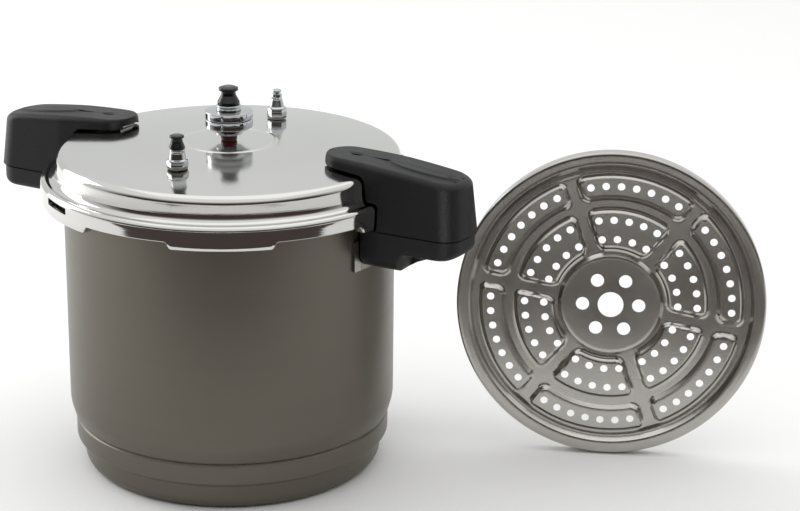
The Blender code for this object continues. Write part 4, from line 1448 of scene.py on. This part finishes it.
@dataclass
class Rack:
    """The stamped rack: a raised rim, a sunk field, raised hub and pockets, and rows of round holes."""

    radius: float = 127.3
    depth: float = 14.0
    sheet: float = 0.9
    foot: Point = (275.2, 143.3)
    turn: float = 22.6
    lean: float = 6.0
    rim_inside: float = 117.4
    field_drop: float = 4.2
    pocket_drop: float = 0.9
    hub_radius: float = 41.8
    rib_half: float = 4.2
    sectors: int = 6
    sector_start: float = 20.0
    inner_pocket: Point = (45.5, 80.5)
    outer_pocket: Point = (87.0, 109.5)
    slope: float = 3.4
    steps: int = 384
    ring_spacing: float = 1.45
    centre_hole: float = 10.6
    hub_holes: tuple[int, float, float] = (6, 23.1, 5.45)
    small_hole: float = 3.1
    rows: tuple[tuple[int, float, float], ...] = ((4, 13.0, 55.0), (5, 10.0, 70.9), (7, 7.2, 99.1))

    def build(self, shop: Workshop) -> None:
        """Stamps the sheet, punches its holes and stands it up beside the pot.

        Args:
            shop: where its finish and its body come from.
        """
        shape = spun(self.section(), self.steps)
        for vert in shape.verts:
            angle = math.degrees(math.atan2(vert.co.y, vert.co.x))
            vert.co.z += self.relief(vert.co.xy.length / MM, angle) * MM
        bmesh.ops.recalc_face_normals(shape, faces=shape.faces)
        if sum(f.normal.z for f in shape.faces) < 0:
            bmesh.ops.reverse_faces(shape, faces=shape.faces)
        obj = mesh_object("rack_fine", shape)
        wall = obj.modifiers.new("Sheet", "SOLIDIFY")
        wall.thickness = self.sheet * MM
        wall.offset = -1.0
        settle(obj)
        carve(obj, self.punches())
        obj.data.transform(self.stand())
        shop.piece("rack_fine", obj, Slot.RACK, "rack", ["rack"])

    def section(self) -> list[Point]:
        """Draws half the sheet's section before stamping: a flat plate, a rolled rim and a turned-back edge.

        Returns:
            (radius, height) pairs.
        """
        rings = int((self.radius - 3.0) / self.ring_spacing)
        flat = [(i * self.ring_spacing, self.depth) for i in range(rings + 1)]
        corner = arc((self.radius - 2.2, self.depth - 2.2), 2.2, 80, 0, 6)
        return flat + corner + [(self.radius, 9.0), (self.radius, 5.0), (self.radius, 0.0)]

    def relief(self, radius: float, angle: float) -> float:
        """How far the press sinks the sheet at a place, in millimetres.

        Args:
            radius: the place's distance from the middle.
            angle: its direction, in degrees.

        Returns:
            A height that is 0 on the rim and negative below it.
        """
        if radius > self.rim_inside + self.slope:
            return 0.0
        sunk = 1.0 - smoothstep(self.rim_inside - self.slope, self.rim_inside + 0.8, radius)
        raised = 1.0 - smoothstep(self.hub_radius - self.slope / 2, self.hub_radius + self.slope / 2, radius)
        off = (angle - self.sector_start + 30) % 60 - 30
        side = (30 - abs(off)) * math.pi / 180 * radius - self.rib_half
        for near, far in (self.inner_pocket, self.outer_pocket):
            inside = rounded_inside(min(radius - near, far - radius), side, 7.0)
            raised = max(raised, smoothstep(0.0, self.slope, inside))
        step = 0.6 * smoothstep(self.rim_inside - 7.5, self.rim_inside - 6.5, radius)
        return sunk * (-self.field_drop + (self.field_drop - self.pocket_drop) * raised + step)

    def punches(self) -> list[bmesh.types.BMesh]:
        """Makes the cutters of every hole.

        Returns:
            The cutters, none of which touches another.
        """
        holes = [self.punch(0.0, 0.0, self.centre_hole, 48)]
        around, radius, size = self.hub_holes
        holes += [self.punch(radius, 360.0 / around * i, size, 32) for i in range(around)]
        for sector in range(self.sectors):
            middle = sector * 360 / self.sectors + self.sector_start
            for count, pitch, radius in self.rows:
                angles = [middle + pitch * (k - (count - 1) / 2) for k in range(count)]
                holes += [self.punch(radius, angle, self.small_hole, 20) for angle in angles]
        return holes

    def punch(self, radius: float, angle: float, size: float, steps: int) -> bmesh.types.BMesh:
        """Makes a round cutter through the sheet.

        Args:
            radius: the hole's distance from the middle.
            angle: its direction, in degrees.
            size: its radius.
            steps: its sides.

        Returns:
            The cutter.
        """
        shape = bmesh.new()
        bmesh.ops.create_cone(
            shape, cap_ends=True, segments=steps, radius1=size * MM, radius2=size * MM, depth=30 * MM
        )
        turn = math.radians(angle)
        x, y = radius * math.cos(turn) * MM, radius * math.sin(turn) * MM
        return place(shape, Matrix.Translation((x, y, 10 * MM)))

    def stand(self) -> Matrix:
        """Stands the rack, made lying on its back, on its rim beside the pot.

        Returns:
            The matrix that moves it there.
        """
        lift = self.depth * math.sin(math.radians(self.lean)) + 0.2
        return (
            Matrix.Translation((self.foot[0] * MM, self.foot[1] * MM, lift * MM))
            @ Matrix.Rotation(math.radians(self.turn), 4, "Z")
            @ Matrix.Rotation(math.radians(90 - self.lean), 4, "X")
            @ Matrix.Translation((0, self.radius * MM, -self.depth * MM))
        )


def rounded_inside(first: float, second: float, radius: float) -> float:
    """How far inside a corner a point is.

    Args:
        first: distance inside the first edge.
        second: distance inside the second edge.
        radius: the corner's rounding.

    Returns:
        The distance to the rounded outline, negative outside it.
    """
    if first < radius and second < radius:
        return radius - math.hypot(radius - first, radius - second)
    return min(first, second)


# ---------------------------------------------------------------- studio


@dataclass(frozen=True)
class Softbox:
    """A rectangular area light that looks at a point; sizes in metres. Some light only a few pieces."""

    name: str
    place: Corner
    aim: Corner
    size: Point
    power: float
    pieces: tuple[str, ...] = ()

    def build(self) -> None:
        """Adds the light."""
        data = bpy.data.lights.new(self.name, "AREA")
        data.shape = "RECTANGLE"
        data.size, data.size_y = self.size
        data.energy = self.power
        light = bpy.data.objects.new(self.name, data)
        light.location = self.place
        light.rotation_euler = (Vector(self.aim) - Vector(self.place)).to_track_quat("-Z", "Y").to_euler()
        bpy.context.scene.collection.objects.link(light)
        if self.pieces:
            lit = bpy.data.collections.new(f"{self.name}_pieces")
            for piece in self.pieces:
                lit.objects.link(bpy.data.objects[piece])
            light.light_linking.receiver_collection = lit


@dataclass(frozen=True)
class Card:
    """A dark card on the floor that only reflections see, as is laid in front of polished metal."""

    name: str
    place: Corner
    turn: float
    size: Point
    colour: str

    def build(self) -> None:
        """Adds the card to the scene."""
        shape = bmesh.new()
        bmesh.ops.create_grid(shape, x_segments=1, y_segments=1, size=0.5)
        bmesh.ops.scale(shape, vec=(self.size[0], self.size[1], 1.0), verts=shape.verts)
        place(shape, Matrix.Translation(self.place) @ Matrix.Rotation(math.radians(self.turn), 4, "Z"))
        card = mesh_object(self.name, shape)
        card.data.materials.append(plain(self.name, self.colour, 0.9))
        card.visible_camera = card.visible_diffuse = card.visible_shadow = False


def plain(name: str, colour: str, roughness: float) -> bpy.types.Material:
    """Makes a plain material for the stage.

    Args:
        name: the material's name.
        colour: its sRGB hex value.
        roughness: its roughness.

    Returns:
        The material.
    """
    material = bpy.data.materials.new(name)
    material.use_nodes = True
    shader = material.node_tree.nodes["Principled BSDF"]
    shader.inputs["Base Color"].default_value = linear(colour)
    shader.inputs["Roughness"].default_value = roughness
    return material


@dataclass
class Studio:
    """The pale floor, the soft light and the camera."""

    floor_side: float = 30.0
    floor_colour: str = "#fbfbfa"
    room_colour: str = "#3f3631"
    wall_colour: str = "#cfd1d1"
    ceiling_colour: str = "#e6e6e6"
    azimuth: float = 28.3
    elevation: float = 18.65
    roll: float = 0.61
    distance: float = 1.8398
    aim: Point = (0.1377, 0.1723)
    lens: float = 101.73

    def build(self) -> None:
        """Adds everything."""
        shape = bmesh.new()
        bmesh.ops.create_grid(shape, x_segments=1, y_segments=1, size=self.floor_side / 2)
        floor = mesh_object("studio_floor", shape)
        floor.data.materials.append(plain("matt_white_floor", self.floor_colour, 0.85))
        self.sky()
        self.lights()
        self.camera()

    def lights(self) -> None:
        """Adds the softboxes and the reflection cards."""
        Softbox("key", (-1.9, -0.1, 0.8), (0.0, 0.0, 0.15), (1.0, 1.5), 15.0).build()
        Softbox("top", (-0.1, 0.5, 2.4), (0.05, 0.0, 0.2), (2.6, 2.6), 8.0).build()
        handles = tuple(f"{part}_handle_{side}" for part in ("upper", "lower") for side in ("left", "right"))
        Softbox("corner", (0.72, -1.05, 0.32), (0.2, 0.0, 0.25), (0.12, 0.5), 5.0, handles).build()
        Card("front_card", (0.62, -1.15, 0.01), 28.3, (2.7, 1.7), "#3d322d").build()

    def sky(self) -> None:
        """Sets a pale world behind and above the object, and a dim warm room in front of it."""
        world = bpy.data.worlds.new("studio_world")
        world.use_nodes = True
        tree = world.node_tree
        source = add_node(tree, "ShaderNodeTexCoord", {}, {})
        turn = math.radians(self.azimuth)
        eased = {"interpolation_type": "SMOOTHSTEP"}
        colours = {"data_type": "RGBA"}
        back = add_node(
            tree,
            "ShaderNodeVectorMath",
            {"operation": "DOT_PRODUCT"},
            {0: source.outputs["Generated"], 1: (-math.sin(turn), math.cos(turn), 0.3)},
        )
        wall = {"Value": back.outputs["Value"], "From Min": -0.45, "From Max": 0.25}
        pale = add_node(tree, "ShaderNodeMapRange", eased, wall)
        walls = {"Factor": pale.outputs["Result"], 6: linear(self.room_colour), 7: linear(self.wall_colour)}
        around = add_node(tree, "ShaderNodeMix", colours, walls)
        apart = add_node(tree, "ShaderNodeSeparateXYZ", {}, {"Vector": source.outputs["Generated"]})
        rise = {"Value": apart.outputs["Z"], "From Min": 0.22, "From Max": 0.72}
        height = add_node(tree, "ShaderNodeMapRange", eased, rise)
        ceiling = {"Factor": height.outputs["Result"], 6: around.outputs[2], 7: linear(self.ceiling_colour)}
        colour = add_node(tree, "ShaderNodeMix", colours, ceiling)
        background = tree.nodes["Background"]
        tree.links.new(colour.outputs[2], background.inputs["Color"])
        background.inputs["Strength"].default_value = 1.3
        bpy.context.scene.world = world
        bpy.context.scene.view_settings.view_transform = "Standard"

    def camera(self) -> None:
        """Sets the camera at the angle the object is seen from."""
        turn, tilt, roll = (math.radians(a) for a in (self.azimuth, self.elevation, self.roll))
        level = Vector((math.cos(turn), math.sin(turn), 0.0))
        ahead = math.cos(tilt)
        forward = Vector((-math.sin(turn) * ahead, math.cos(turn) * ahead, -math.sin(tilt)))
        upright = level.cross(forward)
        right = level * math.cos(roll) + upright * math.sin(roll)
        up = upright * math.cos(roll) - level * math.sin(roll)
        target = level * self.aim[0] + Vector((0.0, 0.0, self.aim[1]))
        eye = target - forward * self.distance
        data = bpy.data.cameras.new("studio_camera")
        data.sensor_width = 36.0
        data.lens = self.lens
        camera = bpy.data.objects.new("studio_camera", data)
        camera.matrix_world = Matrix(
            [(right[i], up[i], -forward[i], eye[i]) for i in range(3)] + [(0.0, 0.0, 0.0, 1.0)]
        )
        bpy.context.scene.collection.objects.link(camera)
        bpy.context.scene.camera = camera


def main() -> None:
    """Builds the object around its frame and the studio around the object."""
    logging.basicConfig(level=logging.INFO, format="%(name)s %(message)s")
    for obj in list(bpy.data.objects):
        bpy.data.objects.remove(obj, do_unlink=True)
    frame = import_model()
    shop = Workshop(frame)
    lid = Lid()
    makers: list[Callable[[], None]] = [
        lambda: Pot().build(shop),
        lambda: lid.build(shop),
        lambda: UpperHandle().build(shop, lid),
        lambda: LowerHandle().build(shop),
        lambda: Regulator().build(shop),
        lambda: ReliefValve().build(shop),
        lambda: Indicator().build(shop),
        lambda: Rack().build(shop),
        lambda: Studio().build(),
    ]
    for make in makers:
        make()


if __name__ == "__main__":
    main()
